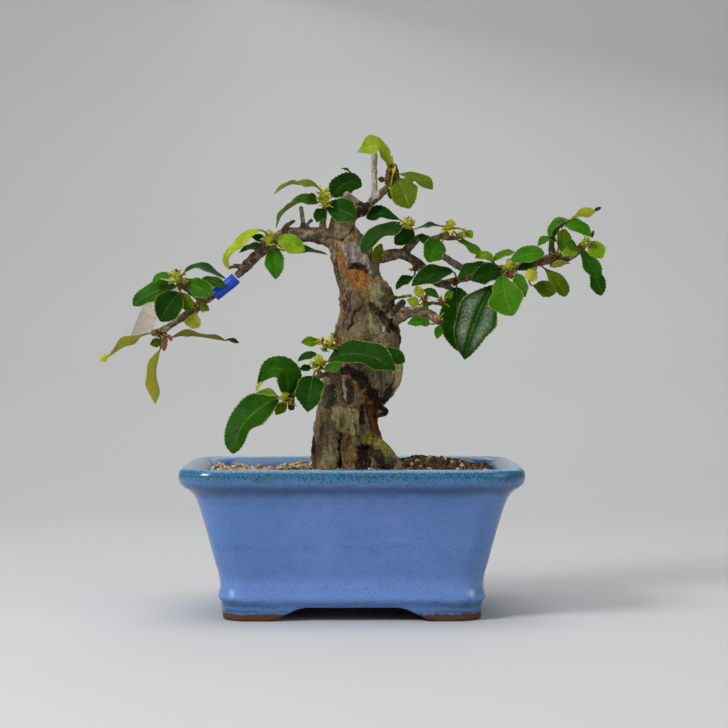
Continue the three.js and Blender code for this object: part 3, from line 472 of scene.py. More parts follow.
def glaze_finish(settings):
    finish = Finish("blue_glaze", Roughness=0.16, IOR=1.5)
    x, y, z = finish.axes()
    drift = finish.noise(22.0, 3.0)
    fine = finish.noise(1.6, 4.0)
    height = z + (finish.noise(9.0, 3.0) - 0.5) * 0.004
    corner = (abs(x) * abs(y) * 500.0).step(0.35, 0.95)
    walls = finish.mix(finish.noise(4.0, 3.0).step(0.35, 0.7) * 0.35, settings.body, GLAZE["light"])
    walls = finish.mix(drift.step(0.42, 0.62) * 0.30, walls, GLAZE["dusky"])
    # Painted light: a lighter band round the foot's bulge, where the light falls on it
    glow = height.band(*PAINTED_LIGHT_BAND)
    walls = finish.mix(glow * 0.5, walls, GLAZE["glow"])
    walls = finish.mix(corner * (1.0 - glow) * 0.3, walls, GLAZE["corner"])
    streak_place = abs(z + (finish.noise(14.0, 2.0) - 0.5) * 0.012 - STREAK_HEIGHT)
    streak = (1.0 - streak_place.step(0.0004, 0.0024)) * finish.noise(18.0, 1.0).step(0.40, 0.55)
    walls = finish.mix(streak * finish.noise(0.8, 2.0).step(0.40, 0.58) * 0.4, walls, GLAZE["streak"])
    rim = height.step(0.0535, 0.0585)
    color = finish.mix(rim, walls, settings.shade)
    # Pale crest along the rim's top edge: thinner glaze on the edge, with a painted highlight along it
    crest = z.step(0.0603, 0.0613)
    color = finish.mix(crest * fine.step(0.35, 0.6) * 0.6, color, GLAZE["crest"])
    # Painted shade: a dark band under the rolled lip, where the lip shades the wall
    under_lip = height.band(*UNDER_LIP_BAND)
    color = finish.mix(under_lip * 0.65, color, GLAZE["painted shade under lip"])
    at_corner = 0.35 + corner * 0.65
    foot = height.band(*FOOT_BAND) * at_corner
    toe = height.band(*TOE_BAND) * at_corner
    color = finish.mix((foot + toe).least(1.0) * 0.75, color, GLAZE["foot ring"])
    pooled = (rim * (1.0 - crest) + foot + toe + under_lip * 0.5).least(1.0)
    speck = finish.noise(0.55, 2.0, 0.5) + pooled * 0.20
    color = finish.mix(speck.step(0.68, 0.78) * 0.85, color, GLAZE["speck"])
    haze = finish.noise(0.9, 2.0, 0.6) + drift * 0.12
    color = finish.mix(haze.step(0.58, 0.74) * 0.30, color, GLAZE["haze"])
    # Painted highlight: a small pale blue glint on the front and back of each foot corner, where the bulge
    # catches the light
    across = abs(x) - PAINTED_GLINT_SPOT[0]
    above = z - PAINTED_GLINT_SPOT[1]
    aside = (across * across + above * above * 0.5) ** 0.5
    thin = (1.0 - aside.step(0.0002, 0.0018)) * abs(y).step(0.030, 0.034)
    color = finish.mix(thin * 0.8, color, GLAZE["painted glint"])
    # Painted shade: a darker blue on the inner wall above the soil, under the rim
    inner = (1.0 - abs(x).step(0.0610, 0.0622)) * (1.0 - abs(y).step(0.0468, 0.0480))
    color = finish.mix(inner * z.step(0.0540, 0.0550) * 0.65, color, GLAZE["painted shade inside"])
    inside = finish.mark("inside")
    bare = (1.0 - (z + finish.noise(2.5, 2.0) * 0.002).step(0.0036, 0.0044)).most(inside)
    clay = finish.mix(finish.noise(0.8, 3.0).step(0.35, 0.7), settings.clay, GLAZE["clay"])
    finish.color(finish.mix(bare, color, clay))
    finish.rough(0.13 + fine * 0.06 + bare * 0.55)
    finish.bump(finish.noise(9.0, 2.0) * 0.6 + fine * 0.08, 0.35, 0.5)
    return finish.material


# Colours of bark and twigs by what carries them
BARK = {
    "shadow": (0.176, 0.130, 0.062), "olive": (0.19, 0.165, 0.068), "plate": (0.30, 0.23, 0.13),
    "twig": (0.095, 0.064, 0.042), "pale twig": (0.37, 0.285, 0.205), "pit": (0.060, 0.036, 0.016),
    "speck": (0.030, 0.018, 0.008), "crust": (0.42, 0.36, 0.24), "crack_and_shade": (0.016, 0.008, 0.005),
}


def bark_finish(settings):
    finish = Finish("flaking_bark", **{"Roughness": 0.8, "Specular IOR Level": 0.2})
    broad = finish.noise(9.0, 4.0)
    middle = finish.noise(2.4, 5.0, 0.62)
    fine = finish.noise(0.85, 4.0, 0.65)
    fibre = finish.noise(1.3, 4.0, 0.65, finish.stretched(0.28))
    speck = finish.noise(1.6, 5.0, 0.7).step(0.44, 0.60)
    color = finish.mix(broad.step(0.38, 0.62), settings.weathered, BARK["shadow"])
    color = finish.mix(finish.noise(5.0, 3.0).step(0.5, 0.68) * 0.7, color, BARK["olive"])
    color = finish.mix(finish.mark("plate") * 0.4, color, BARK["plate"])
    color = finish.mix(finish.mark("bared") * broad.step(0.4, 0.55), color, settings.fresh)
    twig = finish.mark("twig")
    wood = finish.mix(finish.noise(2.6, 4.0, 0.6).step(0.46, 0.58), BARK["twig"], BARK["pale twig"])
    color = finish.mix(twig * 0.9, color, wood)
    tint, amount = finish.paint("patch")
    color = finish.mix((amount + (middle - 0.5) * 1.2 + (fine - 0.5) * 0.8).step(0.26, 0.72), color, tint)
    light = 0.52 + fibre.step(0.40, 0.60) * 0.52 + speck * 0.28 + broad.step(0.35, 0.65) * 0.24
    color = finish.scaled(color, light)
    color = finish.mix(middle.step(0.57, 0.68) * (1.0 - amount * 0.5) * 0.45, color, BARK["pit"])
    color = finish.mix(fine.step(0.56, 0.65) * 0.4, color, BARK["speck"])
    pale = (1.0 - fine).step(0.55, 0.64) * (0.15 + broad.step(0.45, 0.6) * 0.4)
    color = finish.mix(pale, color, BARK["crust"])
    # Cracks and the hollows of the furrows are painted near black: the dark bark inside them, and painted
    # shade in them
    color = finish.mix(finish.mark("crack_and_shade") * 0.85, color, BARK["crack_and_shade"])
    finish.color(color)
    finish.rough(0.7 + fine * 0.25)
    finish.bump(middle * 0.9 + fine * 0.9 + fibre * 0.8, 0.9, 1.0)
    return finish.material


SCALES = {"dark": (0.040, 0.015, 0.005), "brown": (0.14, 0.060, 0.012), "red": (0.23, 0.050, 0.008)}


def scale_finish():
    """Bud scales and the knobbly spur ends under them."""
    finish = Finish("bud_scales", Roughness=0.7)
    patchy = finish.noise(1.5, 3.0)
    color = finish.mix(patchy.step(0.4, 0.6), SCALES["dark"], SCALES["brown"])
    finish.color(finish.mix(finish.noise(2.3, 2.0).step(0.48, 0.60) * 0.8, color, SCALES["red"]))
    finish.rough(0.6 + patchy * 0.25)
    finish.bump(finish.noise(0.5, 3.0), 0.3, 0.8)
    return finish.material


# Colours of leaf parts from a dark tone to a light one
BLADE_TONES = (
    (0.0, (0.008, 0.048, 0.001)), (0.2, (0.015, 0.082, 0.001)), (0.40, (0.032, 0.165, 0.001)),
    (0.50, (0.050, 0.185, 0.001)), (0.60, (0.095, 0.130, 0.002)), (0.76, (0.14, 0.29, 0.001)),
    (0.90, (0.34, 0.42, 0.02)), (1.0, (0.66, 0.66, 0.03)),
)
RIB_TONES = ((0.0, (0.06, 0.14, 0.02)), (0.5, (0.17, 0.25, 0.03)), (1.0, (0.50, 0.56, 0.12)))
UNDERSIDE_TONES = ((0.0, (0.070, 0.105, 0.014)), (0.5, (0.32, 0.325, 0.040)), (1.0, (0.74, 0.74, 0.070)))
STALK_TONES = ((0.3, (0.16, 0.21, 0.02)), (0.7, (0.20, 0.11, 0.03)))
# Leaf colours: a pale painted highlight, the pale margin and the rib seen from below
LEAF = {"painted_gloss": (0.34, 0.41, 0.28), "margin": (0.42, 0.50, 0.09), "under rib": (0.30, 0.34, 0.09)}

# Side veins of a blade, and how far each runs forward on its way to the margin
VEIN_COUNT = 8.0
VEIN_PITCH = 1.0 / VEIN_COUNT
VEIN_SLOPE = 0.16


def leaf_finish(name, glow):
    """A leaf blade; glow is the colour of the light that comes through it."""
    finish = Finish(name, **{"Roughness": 0.4, "Specular IOR Level": 0.07})
    across, along = finish.spread()
    side = abs(across - 0.5) * 2.0
    under = finish.mark("under")
    tone = finish.mark("tone")
    stalk = finish.mark("stalk")
    mottle = finish.noise(2.2, 3.0)
    grain = finish.noise(0.8, 3.0)
    shifted = tone + (mottle - 0.5) * 0.20 + (finish.noise(7.0, 1.0) - 0.5) * 0.22
    vein_place = along - side * VEIN_SLOPE + (mottle - 0.5) * 0.03
    vein = (1.0 - vein_place.apart(VEIN_PITCH).step(0.03, 0.12)) * (1.0 - side * 0.55)
    broken = mottle.step(0.36, 0.56)
    rib = (1.0 - side.step(0.02, 0.06)) * (0.35 + broken * 0.65)
    margin = side.step(0.92, 0.98) * (0.35 + grain.step(0.42, 0.55) * 0.65)
    lines = (vein * 0.26 * broken + rib * 0.7).least(0.8) * (1.0 - stalk)
    color = finish.mix(lines, finish.ramp(shifted, BLADE_TONES), finish.ramp(shifted, RIB_TONES))
    # Painted highlight: a pale sheen in a band along each half of the blade, on leaves that are given one
    streak = side.step(0.12, 0.36) * (1.0 - side.step(0.66, 0.94) * 0.85)
    painted_gloss = finish.mark("sheen") * streak * (0.35 + grain.step(0.38, 0.62) * 0.65)
    color = finish.mix(painted_gloss, color, LEAF["painted_gloss"])
    color = finish.mix(margin * 0.65 * (1.0 - stalk), color, LEAF["margin"])
    below = finish.mix(lines * 0.6, finish.ramp(shifted, UNDERSIDE_TONES), LEAF["under rib"])
    color = finish.mix(under, color, below)
    color = finish.mix(stalk, color, finish.ramp(mottle, STALK_TONES))
    finish.color(finish.scaled(color, 0.72 + grain * 0.55))
    finish.rough(0.38 + under * 0.25 + mottle * 0.12)
    quilt = vein * -0.35 + finish.noise(0.5, 2.0) * 0.2 + mottle * 0.5
    finish.bump(quilt, 0.45, 0.9)
    finish.translucent(glow, 0.14)
    return finish.material


# Colours of grains by their chance tint: pumice and clay on the left, dark soil on the right
PALE_GRAINS = (
    (0.0, (0.09, 0.045, 0.020)), (0.28, (0.20, 0.12, 0.05)), (0.42, (0.46, 0.36, 0.20)),
    (0.72, (0.66, 0.55, 0.36)), (0.86, (0.16, 0.09, 0.04)), (1.0, (0.72, 0.66, 0.50)),
)
DARK_GRAINS = (
    (0.0, (0.020, 0.009, 0.003)), (0.4, (0.045, 0.021, 0.008)), (0.7, (0.10, 0.048, 0.016)),
    (0.90, (0.20, 0.11, 0.04)), (1.0, (0.60, 0.48, 0.28)),
)
SOIL_DUST = (0.07, 0.05, 0.03)


def soil_finish():
    finish = Finish("soil_grains", Roughness=0.95)
    tint = finish.mark("tint")
    x = finish.axes()[0]
    rich = (x + (finish.noise(16.0, 2.0) - 0.5) * 0.05 + (tint - 0.5) * 0.03).step(-0.018, 0.006)
    color = finish.mix(rich, finish.ramp(tint, PALE_GRAINS), finish.ramp(tint, DARK_GRAINS))
    finish.color(finish.mix(finish.noise(0.7, 3.0).step(0.45, 0.75) * 0.35, color, SOIL_DUST))
    finish.bump(finish.noise(0.35, 3.0), 0.3, 0.8)
    return finish.material


def plain_finish(name, color, second, roughness, size):
    """Plastic or paper with a faint mottle and a fine bump."""
    finish = Finish(name, Roughness=roughness)
    mottle = finish.noise(size, 3.0)
    finish.color(finish.mix(mottle.step(0.35, 0.7), color, second))
    finish.bump(mottle, 0.12, 0.5)
    return finish.material


# Pot

DEPTH_STEP = 15.5
RIM_HALF = 69.0
RIM_RADIUS = 17.0
WALL_LEAN = 0.38
SIDE_BOW = 0.7
FLOOR_UNDERSIDE = 6.9
FLOOR_TOP = 11.5
FOOT_THICKNESS = 9.0
ARCH_HEIGHT = 5.5
FRONT_ARCH = (33.5, 18.5)
SIDE_ARCH = (20.0, 11.5)
DRAIN_X = 24.0
DRAIN_RADIUS = 5.0

OUTER_WALL = (
    (7.0, 52.6), (8.0, 53.4), (9.4, 53.9), (11.0, 53.6), (12.9, 53.1), (16.1, 53.2), (19.3, 53.8),
    (22.5, 54.8), (28.9, 56.4), (35.3, 58.1), (41.7, 59.9), (46.0, 61.2), (49.0, 62.4), (50.8, 63.4),
    (52.2, 64.8), (53.6, 66.9), (55.2, 68.4), (57.0, 68.95), (58.6, RIM_HALF), (59.9, 68.7), (60.9, 67.9),
    (61.3, 66.7),
)
INNER_WALL = (
    (61.2, 65.4), (60.6, 63.4), (59.4, 61.4), (57.0, 60.0), (47.0, 55.6), (30.0, 50.4), (16.0, 48.2),
)
CORNER_STEPS = 12
LONG_STEPS = 22
SHORT_STEPS = 16

# The foot band's lower edge and the recess under the floor, as half lengths and heights
FOOT_EDGE = ((51.2, 0.0), (51.9, 0.35), (52.1, 1.1))
RECESS_RADIUS = 6.0
INSIDE_START = 56.0
INSIDE_EDGE = (47.0, 46.4)
UNDERSIDE_SHARES = (0.25, 0.6)
FLOOR_SHARES = (0.97, 0.6, 0.25)


def pot_ring(half, z, radius=None):
    """Points of the pot's plan at one height."""
    half_y = half - DEPTH_STEP
    round_by = RIM_RADIUS - (RIM_HALF - half) * WALL_LEAN if radius is None else radius
    corners = [Vector((side_x * (half - round_by), side_y * (half_y - round_by), z))
               for side_x, side_y in ((1, 1), (-1, 1), (-1, -1), (1, -1))]
    ring = []
    for quarter, middle in enumerate(corners):
        for i in range(CORNER_STEPS + 1):
            angle = (quarter + i / CORNER_STEPS) * math.pi / 2
            ring.append(middle + Vector((math.cos(angle), math.sin(angle), 0.0)) * round_by)
        angle = (quarter + 1) * math.pi / 2
        outward = Vector((math.cos(angle), math.sin(angle), 0.0))
        steps = SHORT_STEPS if quarter % 2 else LONG_STEPS
        for i in range(1, steps):
            bow = SIDE_BOW * (1.0 - (2.0 * i / steps - 1.0) ** 2)
            ring.append(middle.lerp(corners[(quarter + 1) % 4], i / steps) + outward * (round_by + bow))
    return ring


def arch_height(place):
    """Height of the foot arch over the ground at a point of the foot line, 0 on a foot."""
    on_front = abs(place.y) + DEPTH_STEP > abs(place.x)
    ground, top = FRONT_ARCH if on_front else SIDE_ARCH
    along = abs(place.x) if on_front else abs(place.y)
    return ARCH_HEIGHT * (1.0 - ease(along, top, ground))


def drill_drain(pot, x):
    """Cuts one drainage hole through the floor."""
    drill = bpy.data.meshes.new("drain")
    tool = bmesh.new()
    bmesh.ops.create_cone(tool, cap_ends=True, segments=32, radius1=DRAIN_RADIUS * MM,
                          radius2=DRAIN_RADIUS * MM, depth=FLOOR_TOP * MM)
    bmesh.ops.translate(tool, verts=tool.verts, vec=(x * MM, 0.0, FLOOR_TOP * MM))
    tool.to_mesh(drill)
    tool.free()
    cutter = bpy.data.objects.new("drain", drill)
    bpy.context.collection.objects.link(cutter)
    cut = pot.modifiers.new("Drain", "BOOLEAN")
    cut.operation = "DIFFERENCE"
    cut.solver = "EXACT"
    cut.object = cutter
    apply_modifiers(pot)
    bpy.data.objects.remove(cutter)
    bpy.data.meshes.remove(drill)


def build_pot(settings):
    skin = Skin()
    rows = []

    def row(half, z, inside=0.0, radius=None, lift=False):
        points = []
        for place in pot_ring(half, z, radius):
            if not inside:
                flat = Vector((place.x, place.y, 0.0)).normalized()
                place = place + flat * (noise.noise(place * 0.021) * settings.waviness)
            if lift:
                place.z = max(place.z, min(FLOOR_UNDERSIDE - 0.2, arch_height(place) + z))
            points.append(skin.point(place, inside=inside))
        rows.append(points)

    recess = OUTER_WALL[0][1] - FOOT_THICKNESS
    for share in UNDERSIDE_SHARES:
        row(recess * share + DEPTH_STEP * (1 - share), FLOOR_UNDERSIDE, 1.0, RECESS_RADIUS * share)
    row(recess - 0.5, FLOOR_UNDERSIDE, 1.0, RECESS_RADIUS)
    row(recess, FLOOR_UNDERSIDE - 0.15, 1.0, RECESS_RADIUS + 0.5)
    row(recess + 0.15, 0.5, 1.0, RECESS_RADIUS + 0.5, lift=True)
    row(recess + 0.7, 0.0, 1.0, RECESS_RADIUS + 1.0, lift=True)
    for half, z in FOOT_EDGE:
        row(half, z, lift=True)
    for z, half in OUTER_WALL:
        row(half, z)
    for z, half in INNER_WALL:
        row(half, z, 1.0 if z < INSIDE_START else 0.0)
    row(INSIDE_EDGE[0], FLOOR_TOP + 0.6, 1.0)
    for share in FLOOR_SHARES:
        row(INSIDE_EDGE[1] * share + DEPTH_STEP * (1 - share), FLOOR_TOP, 1.0, 8.0 * share)
    for first, second in zip(rows, rows[1:]):
        skin.strip(second, first)
    for ring, z, outward in ((rows[0], FLOOR_UNDERSIDE, False), (rows[-1], FLOOR_TOP, True)):
        skin.cap(ring, skin.point(UP * z, inside=1.0), outward)
    pot = skin.make("pot_body", [glaze_finish(settings)])
    mesh = bmesh.new()
    mesh.from_mesh(pot.data)
    bmesh.ops.recalc_face_normals(mesh, faces=mesh.faces)
    mesh.to_mesh(pot.data)
    mesh.free()
    for side in (-1, 1):
        drill_drain(pot, side * DRAIN_X)
    pot.data.set_sharp_from_angle(angle=math.radians(50))
    finished(pot, "glaze", "pot")


def build_screens():
    material = plain_finish("screen_plastic", (0.02, 0.02, 0.02), (0.045, 0.045, 0.045), 0.6, 3.0)
    for side in ("left", "right"):
        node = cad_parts["drain_screen_" + side]
        for slot in node.material_slots:
            slot.material = material


# Soil

SOIL_EDGE = 56.6
SOIL_MIDDLE = 58.8
SOIL_HEAP = {"x": 35.0, "y": 8.0, "height": 3.6, "spread": 16.0}
SOIL_DIP = {"x": -36.0, "spread": 15.0, "depth": 2.2}
BACK_RISE = 1.5
BACK_RISE_FROM = -12.0
BACK_RISE_TO = 22.0
BED_DEPTH = 1.1
BED_BOTTOM = 13.2
BED_WALL = ((BED_BOTTOM, 46.6), (16.0, 47.6), (30.0, 49.8), (47.0, 55.0), (SOIL_EDGE - 2.0, 58.6))
BED_SHARES = (0.99, 0.93, 0.86, 0.78, 0.7, 0.62, 0.54, 0.46, 0.38, 0.3, 0.22, 0.14, 0.07)
BED_HALF = 58.8
GRAIN_HALF = 58.4
GRAIN_ROWS = 25
GRAIN_DENSITY = 1400000.0
GRAIN_ROW_GAP = 0.04
GRAINS_SUNK = BED_DEPTH * 0.35


def soil_height(x, y):
    inward = max(0.0, 1.0 - math.hypot(x / 60.0, y / 45.0))
    away = (x - SOIL_HEAP["x"]) ** 2 + (y - SOIL_HEAP["y"]) ** 2
    heap = SOIL_HEAP["height"] * math.exp(-away / SOIL_HEAP["spread"] ** 2)
    lumps = 1.3 * noise.noise(Vector((x, y, 0.0)) * 0.16) + 1.1 * noise.noise(Vector((x, y, 9.0)) * 0.4)
    dip = math.exp(-((x - SOIL_DIP["x"]) / SOIL_DIP["spread"]) ** 2)
    heap += (BACK_RISE - SOIL_DIP["depth"] * dip) * ease(y, BACK_RISE_FROM, BACK_RISE_TO)
    return SOIL_EDGE + (SOIL_MIDDLE - SOIL_EDGE) * min(1.0, inward * 2.0) + heap + lumps


def soil_ring(skin, half, share, sunk):
    """A row of points under the soil's surface, at a share of the way out to the pot's wall."""
    ring = []
    for place in pot_ring(half, 0.0):
        x, y = place.x * share, place.y * share
        ring.append(skin.point(Vector((x, y, soil_height(x, y) - sunk))))
    return ring


def build_bed():
    """The body of the soil, under the loose grains."""
    skin = Skin()
    rows = [[skin.point(place) for place in pot_ring(half, z)] for z, half in BED_WALL]
    rows += [soil_ring(skin, BED_HALF, share, BED_DEPTH) for share in BED_SHARES]
    skin.shell(rows, UP * BED_BOTTOM, UP * (soil_height(0.0, 0.0) - BED_DEPTH))
    return skin.make("soil_bed", [bpy.data.materials["soil_grains"]])


def grain_tree(material):
    """Geometry Nodes: scatters loose grains over a surface."""
    tree = bpy.data.node_groups.new("Loose grains", "GeometryNodeTree")
    for name, way, kind in (
        ("Geometry", "INPUT", "NodeSocketGeometry"), ("Grain size", "INPUT", "NodeSocketFloat"),
        ("Spacing", "INPUT", "NodeSocketFloat"), ("Seed", "INPUT", "NodeSocketInt"),
        ("Geometry", "OUTPUT", "NodeSocketGeometry"),
    ):
        tree.interface.new_socket(name, in_out=way, socket_type=kind)

    node = Nodes(tree).node

    def chance(kind, low, high, seed):
        """A number or a vector that differs from grain to grain."""
        bounds = {2: low, 3: high} if kind == "FLOAT" else {0: low, 1: high}
        return node("FunctionNodeRandomValue", {"data_type": kind}, {**bounds, "Seed": seed}).outputs

    given = node("NodeGroupInput").outputs
    where = node("GeometryNodeInputPosition").outputs[0]
    x = node("ShaderNodeSeparateXYZ", None, {0: where}).outputs[0]
    coarse = node("ShaderNodeMapRange", None, {0: x, 1: -0.030, 2: 0.010, 3: 1.3, 4: 1.15}).outputs[0]
    points = node("GeometryNodeDistributePointsOnFaces", {"distribute_method": "POISSON"}, {
        "Mesh": given["Geometry"], "Distance Min": given["Spacing"], "Density Max": GRAIN_DENSITY,
        "Seed": given["Seed"],
    })
    tinted = node("GeometryNodeStoreNamedAttribute", {"data_type": "FLOAT", "domain": "POINT"}, {
        "Geometry": points.outputs["Points"], "Name": "tint", "Value": chance("FLOAT", 0.0, 1.0, 5)[1],
    })
    turn = chance("FLOAT_VECTOR", (0.0, 0.0, 0.0), (6.28, 6.28, 6.28), 11)[0]
    shape = chance("FLOAT_VECTOR", (0.55, 0.55, 0.45), (1.3, 1.15, 1.0), 17)[0]
    sized = node("ShaderNodeVectorMath", {"operation": "SCALE"}, {0: shape, "Scale": coarse}).outputs[0]
    half = node("ShaderNodeMath", {"operation": "MULTIPLY"}, {0: given["Grain size"], 1: 0.5}).outputs[0]
    grain = node("GeometryNodeMeshIcoSphere", None, {"Radius": half, "Subdivisions": 1}).outputs[0]
    placed = node("GeometryNodeInstanceOnPoints", None, {
        "Points": tinted.outputs[0], "Instance": grain, "Rotation": turn, "Scale": sized,
    })
    solid = node("GeometryNodeRealizeInstances", None, {"Geometry": placed.outputs[0]})
    coated = node("GeometryNodeSetMaterial", None, {"Geometry": solid.outputs[0], "Material": material})
    node("NodeGroupOutput", None, {0: coated.outputs[0]})
    return tree


def build_soil(settings):
    material = soil_finish()
    bed = build_bed()
    skin = Skin()
    shares = [1.0 - GRAIN_ROW_GAP * i for i in range(GRAIN_ROWS)]
    skin.loft([soil_ring(skin, GRAIN_HALF, share, GRAINS_SUNK) for share in shares])
    grains = skin.make("soil_grains", [material])
    tree = grain_tree(material)
    scatter = grains.modifiers.new("Grains", "NODES")
    scatter.node_group = tree
    values = {"Grain size": settings.grain, "Spacing": settings.spacing, "Seed": settings.seed}
    for item in tree.interface.items_tree:
        if item.item_type == "SOCKET" and item.in_out == "INPUT" and item.name in values:
            scatter[item.identifier] = values[item.name]
    apply_modifiers(grains)
    finished(bed, "soil", "soil")
    finished(grains, "soil")


# Wood

# Trunk outline in pixels: row, left edge, right edge and depth of the middle in millimetres
TRUNK_EDGES = (
    (530, 340, 370, 0), (502, 327, 384, 0), (482, 317, 395, 0), (466, 313, 396, 0), (452, 312, 386, 0),
    (440, 313, 380, 0), (425, 315, 378, 0), (410, 316.4, 379, 0), (400, 319.6, 388, -0.5),
    (390, 321.5, 396, -1),
    (380, 323, 401.5, -1), (365, 328, 403, -1), (350, 334, 399, -1), (338, 336, 401, -0.5),
    (325, 337, 398, 0), (310, 341, 392, 0), (292, 339, 392, 1), (275, 335, 380, 1), (260, 332, 379, 1),
    (246, 329, 370, 1), (232, 328, 360, 1), (221, 331, 352, 1),
)
TRUNK_FLATNESS = 0.86
TRUNK_RIDGES = 5
RIDGE_RISE = 0.08
RIDGE_TWIST = 0.08
LIMB_OVAL = 0.07
SOIL_ROW = 480
BRANCH_SHARE = 0.25

# Lumps on the trunk: place in pixels, depth, and half width, half height and half depth in pixels
TRUNK_LUMPS = (
    ((383, 300), -6, (11, 18, 10)), ((386, 377), -7, (15, 13, 16)), ((380.5, 411), -5, (8.5, 6, 10)),
    ((352, 251), -6, (12, 13, 7)), ((351, 309), -9, (11, 20, 6)), ((343, 419), -11, (16, 16, 9)),
    ((352, 335), 9, (16, 24, 14)),
)

# Limbs: each point is a column, a row and a thickness in pixels, with a depth before the thickness
LIMBS = {
    "root_front_left": ((334, 415, -4, 28), (330, 450, -9, 26), (326, 472, -15, 20), (320, 500, -22, 9)),
    "root_front": ((350, 415, -5, 24), (352, 450, -11, 23), (355, 475, -18, 17), (358, 505, -26, 8)),
    "root_right": ((360, 430, -5, 20), (371, 444, -8, 20), (385, 456, -10, 19), (398, 470, -12, 15),
                   (416, 492, -15, 8)),
    "root_back": ((352, 430, 6, 30), (347, 460, 14, 24), (340, 482, 27, 10)),
    "root_back_right": ((364, 425, 4, 24), (380, 456, 11, 16), (400, 484, 20, 8)),
    "root_back_left": ((336, 425, 2, 26), (326, 456, 5, 20), (312, 484, 9, 8)),
    "apex": ((341, 236, 1, 28), (342, 221, 1, 22), (352, 213, 1, 17), (364, 209.5, 2, 12)),
    "apex_stub": ((366, 210, 2, 10), (355, 202.5, 0, 9.5), (345.7, 194.7, -2, 9)),
    "top_twig": ((362, 210, 2, 9), (367, 207, 2, 8), (374, 195, 3, 6.5), (374, 172, 4, 6),
                 (374.4, 153.6, 5, 5.5)),
    "top_right": ((366, 208, 2, 8), (372, 202, 2, 7), (384, 191, 3, 7), (389, 186, 4, 7), (392, 175, 4, 7),
                  (395, 165.5, 4, 6)),
    "left_main": ((345, 240, 0, 18), (328, 238, 0, 16), (313, 234.6, -1, 15), (300, 234.6, -2, 14.5),
                  (285, 235.5, -3, 14), (271, 241.5, -4, 13), (260, 252, -5, 12), (248, 264.5, -6, 10),
                  (238, 275, -7, 6.5), (226, 286, -8, 6.5), (214, 295, -8.5, 6.5), (200, 304.5, -9, 8),
                  (187, 314.5, -9, 7), (172, 325, -9, 6.5), (160, 332, -8.5, 8), (153.4, 332.8, -8, 7)),
    "grey_twig": ((301, 236, -2, 6), (302.8, 222, -2, 5), (300.8, 207, -2, 4.5)),
    "dry_shoot": ((282, 234, -3, 5), (286, 226, -4, 4), (295, 221, -5, 3)),
    "dry_shoot_right": ((309, 234, -1, 4), (308, 224, -2, 3.5), (312, 220, -3, 3)),
    "side_spike": ((340, 343, -3, 5), (335, 337, -4, 4), (331.5, 333.5, -5, 2.5)),
    "hook_stub": ((245, 267, -6, 5), (236, 266, -8, 4.5), (229, 268, -9, 3.5)),
    "left_spur": ((204, 301, -9, 8), (190, 290, -9, 8.5), (178, 280, -9, 8)),
    "crown_shoot": ((321, 236, 0, 8), (322.7, 226, 0, 6.5), (324.4, 212, 0, 5.5), (324.4, 196, 0, 5)),
    "right_upper": ((365, 262, 1, 16), (379, 258, 2, 12), (393, 254.5, 3, 11), (404, 252, 4, 9.5),
                    (411.6, 244, 4.5, 8), (420, 237.5, 5, 7.5), (430, 241.5, 6, 7.5), (437, 250, 6, 7)),
    "right_upper_tip": ((429, 241, 6, 7), (441, 236, 5, 6), (450, 229, 4, 6)),
    "right_upper_spur": ((440, 236.5, 5, 6), (453, 238, 5, 6), (464.5, 234, 4, 6)),
    "mid_spur": ((411, 246, 4.5, 6), (409.5, 236, 4, 5.5), (408.7, 225, 3, 5)),
    "right_main": ((400, 253, 4, 10), (411.6, 259, 5, 9), (421.5, 266, 7, 8), (430, 278, 8, 7.5),
                   (440, 284, 8.5, 7), (453, 281, 8, 7), (474, 276, 7, 8), (497, 270.5, 5, 9),
                   (518, 266, 3.5, 9.5), (536.5, 262, 2, 10), (552, 259, 0, 10), (567, 258, -1.5, 9.5),
                   (577, 251, -2.5, 8.5), (587, 242, -3, 7)),
    "outer_spur": ((555, 258, -0.5, 7), (551.5, 247, -1.5, 6), (554, 234, -2.5, 4.5), (560, 225, -3.5, 4)),
    "right_lower": ((376, 326, -3, 18), (388, 321.5, -6, 14.5), (400.7, 315.5, -9, 13),
                    (413, 311.4, -12, 11.5), (426.4, 313, -14, 10.5), (440, 321.5, -16, 9)),
    "low_shoot": ((424, 313, -14, 6), (424.8, 305, -14.5, 5), (424.8, 296.4, -15, 4.5)),
    "low_twig": ((425, 305, -14.5, 4.5), (433, 303, -14, 4), (443, 304.5, -13.5, 4)),
    "broken_stub": ((390, 319, -7, 8), (396, 311, -9, 7.5), (403.5, 301, -11, 6)),
    "thin_stalk": ((386, 298, -3, 4), (400, 297, -6, 3), (411.5, 295.6, -8, 3)),
    "right_link": ((430, 246, 5.5, 5.5), (446, 258, 6, 7), (461, 267.5, 5.5, 7.5), (474, 274, 4, 7)),
    "front_left": ((345, 369, -8, 8), (335, 372, -13, 7), (320, 376, -15, 6), (305, 382, -18, 5.5),
                   (293, 394, -20, 7), (291, 409, -21, 7)),
    "front_spur": ((320, 376, -15, 6), (318.5, 369, -15.5, 5.5), (318, 362, -16, 5)),
    "front_bud_spur": ((344, 350, -6, 7), (336, 348, -11, 6), (330, 346, -12, 6)),
    "back_right": ((441, 283.5, 8.5, 6.5), (455, 291, 17, 5.5), (464, 302, 27, 5), (470, 311, 35, 4.5)),
    "back_trunk": ((360, 334, 6, 14), (364, 322, 18, 9), (368, 316, 29, 7), (370, 318, 36, 5)),
    "back_left": ((279, 237, -2, 7), (276, 240, 5, 5.5), (272, 245, 12, 4.5)),
    "back_top": ((388, 187, 4, 6), (393, 186, 9, 5), (397, 186, 15, 4.5)),
    "back_far_left": ((192, 309, -9, 6), (184, 304, -2, 5), (178, 298, 6, 4.5)),
}

# Colours of bark patches
PALE = (0.34, 0.28, 0.235)
ORANGE = (0.29, 0.115, 0.014)
TAN = (0.20, 0.125, 0.035)
RUST = (0.17, 0.058, 0.014)
PLUM = (0.185, 0.118, 0.082)
LICHEN = (0.235, 0.210, 0.098)
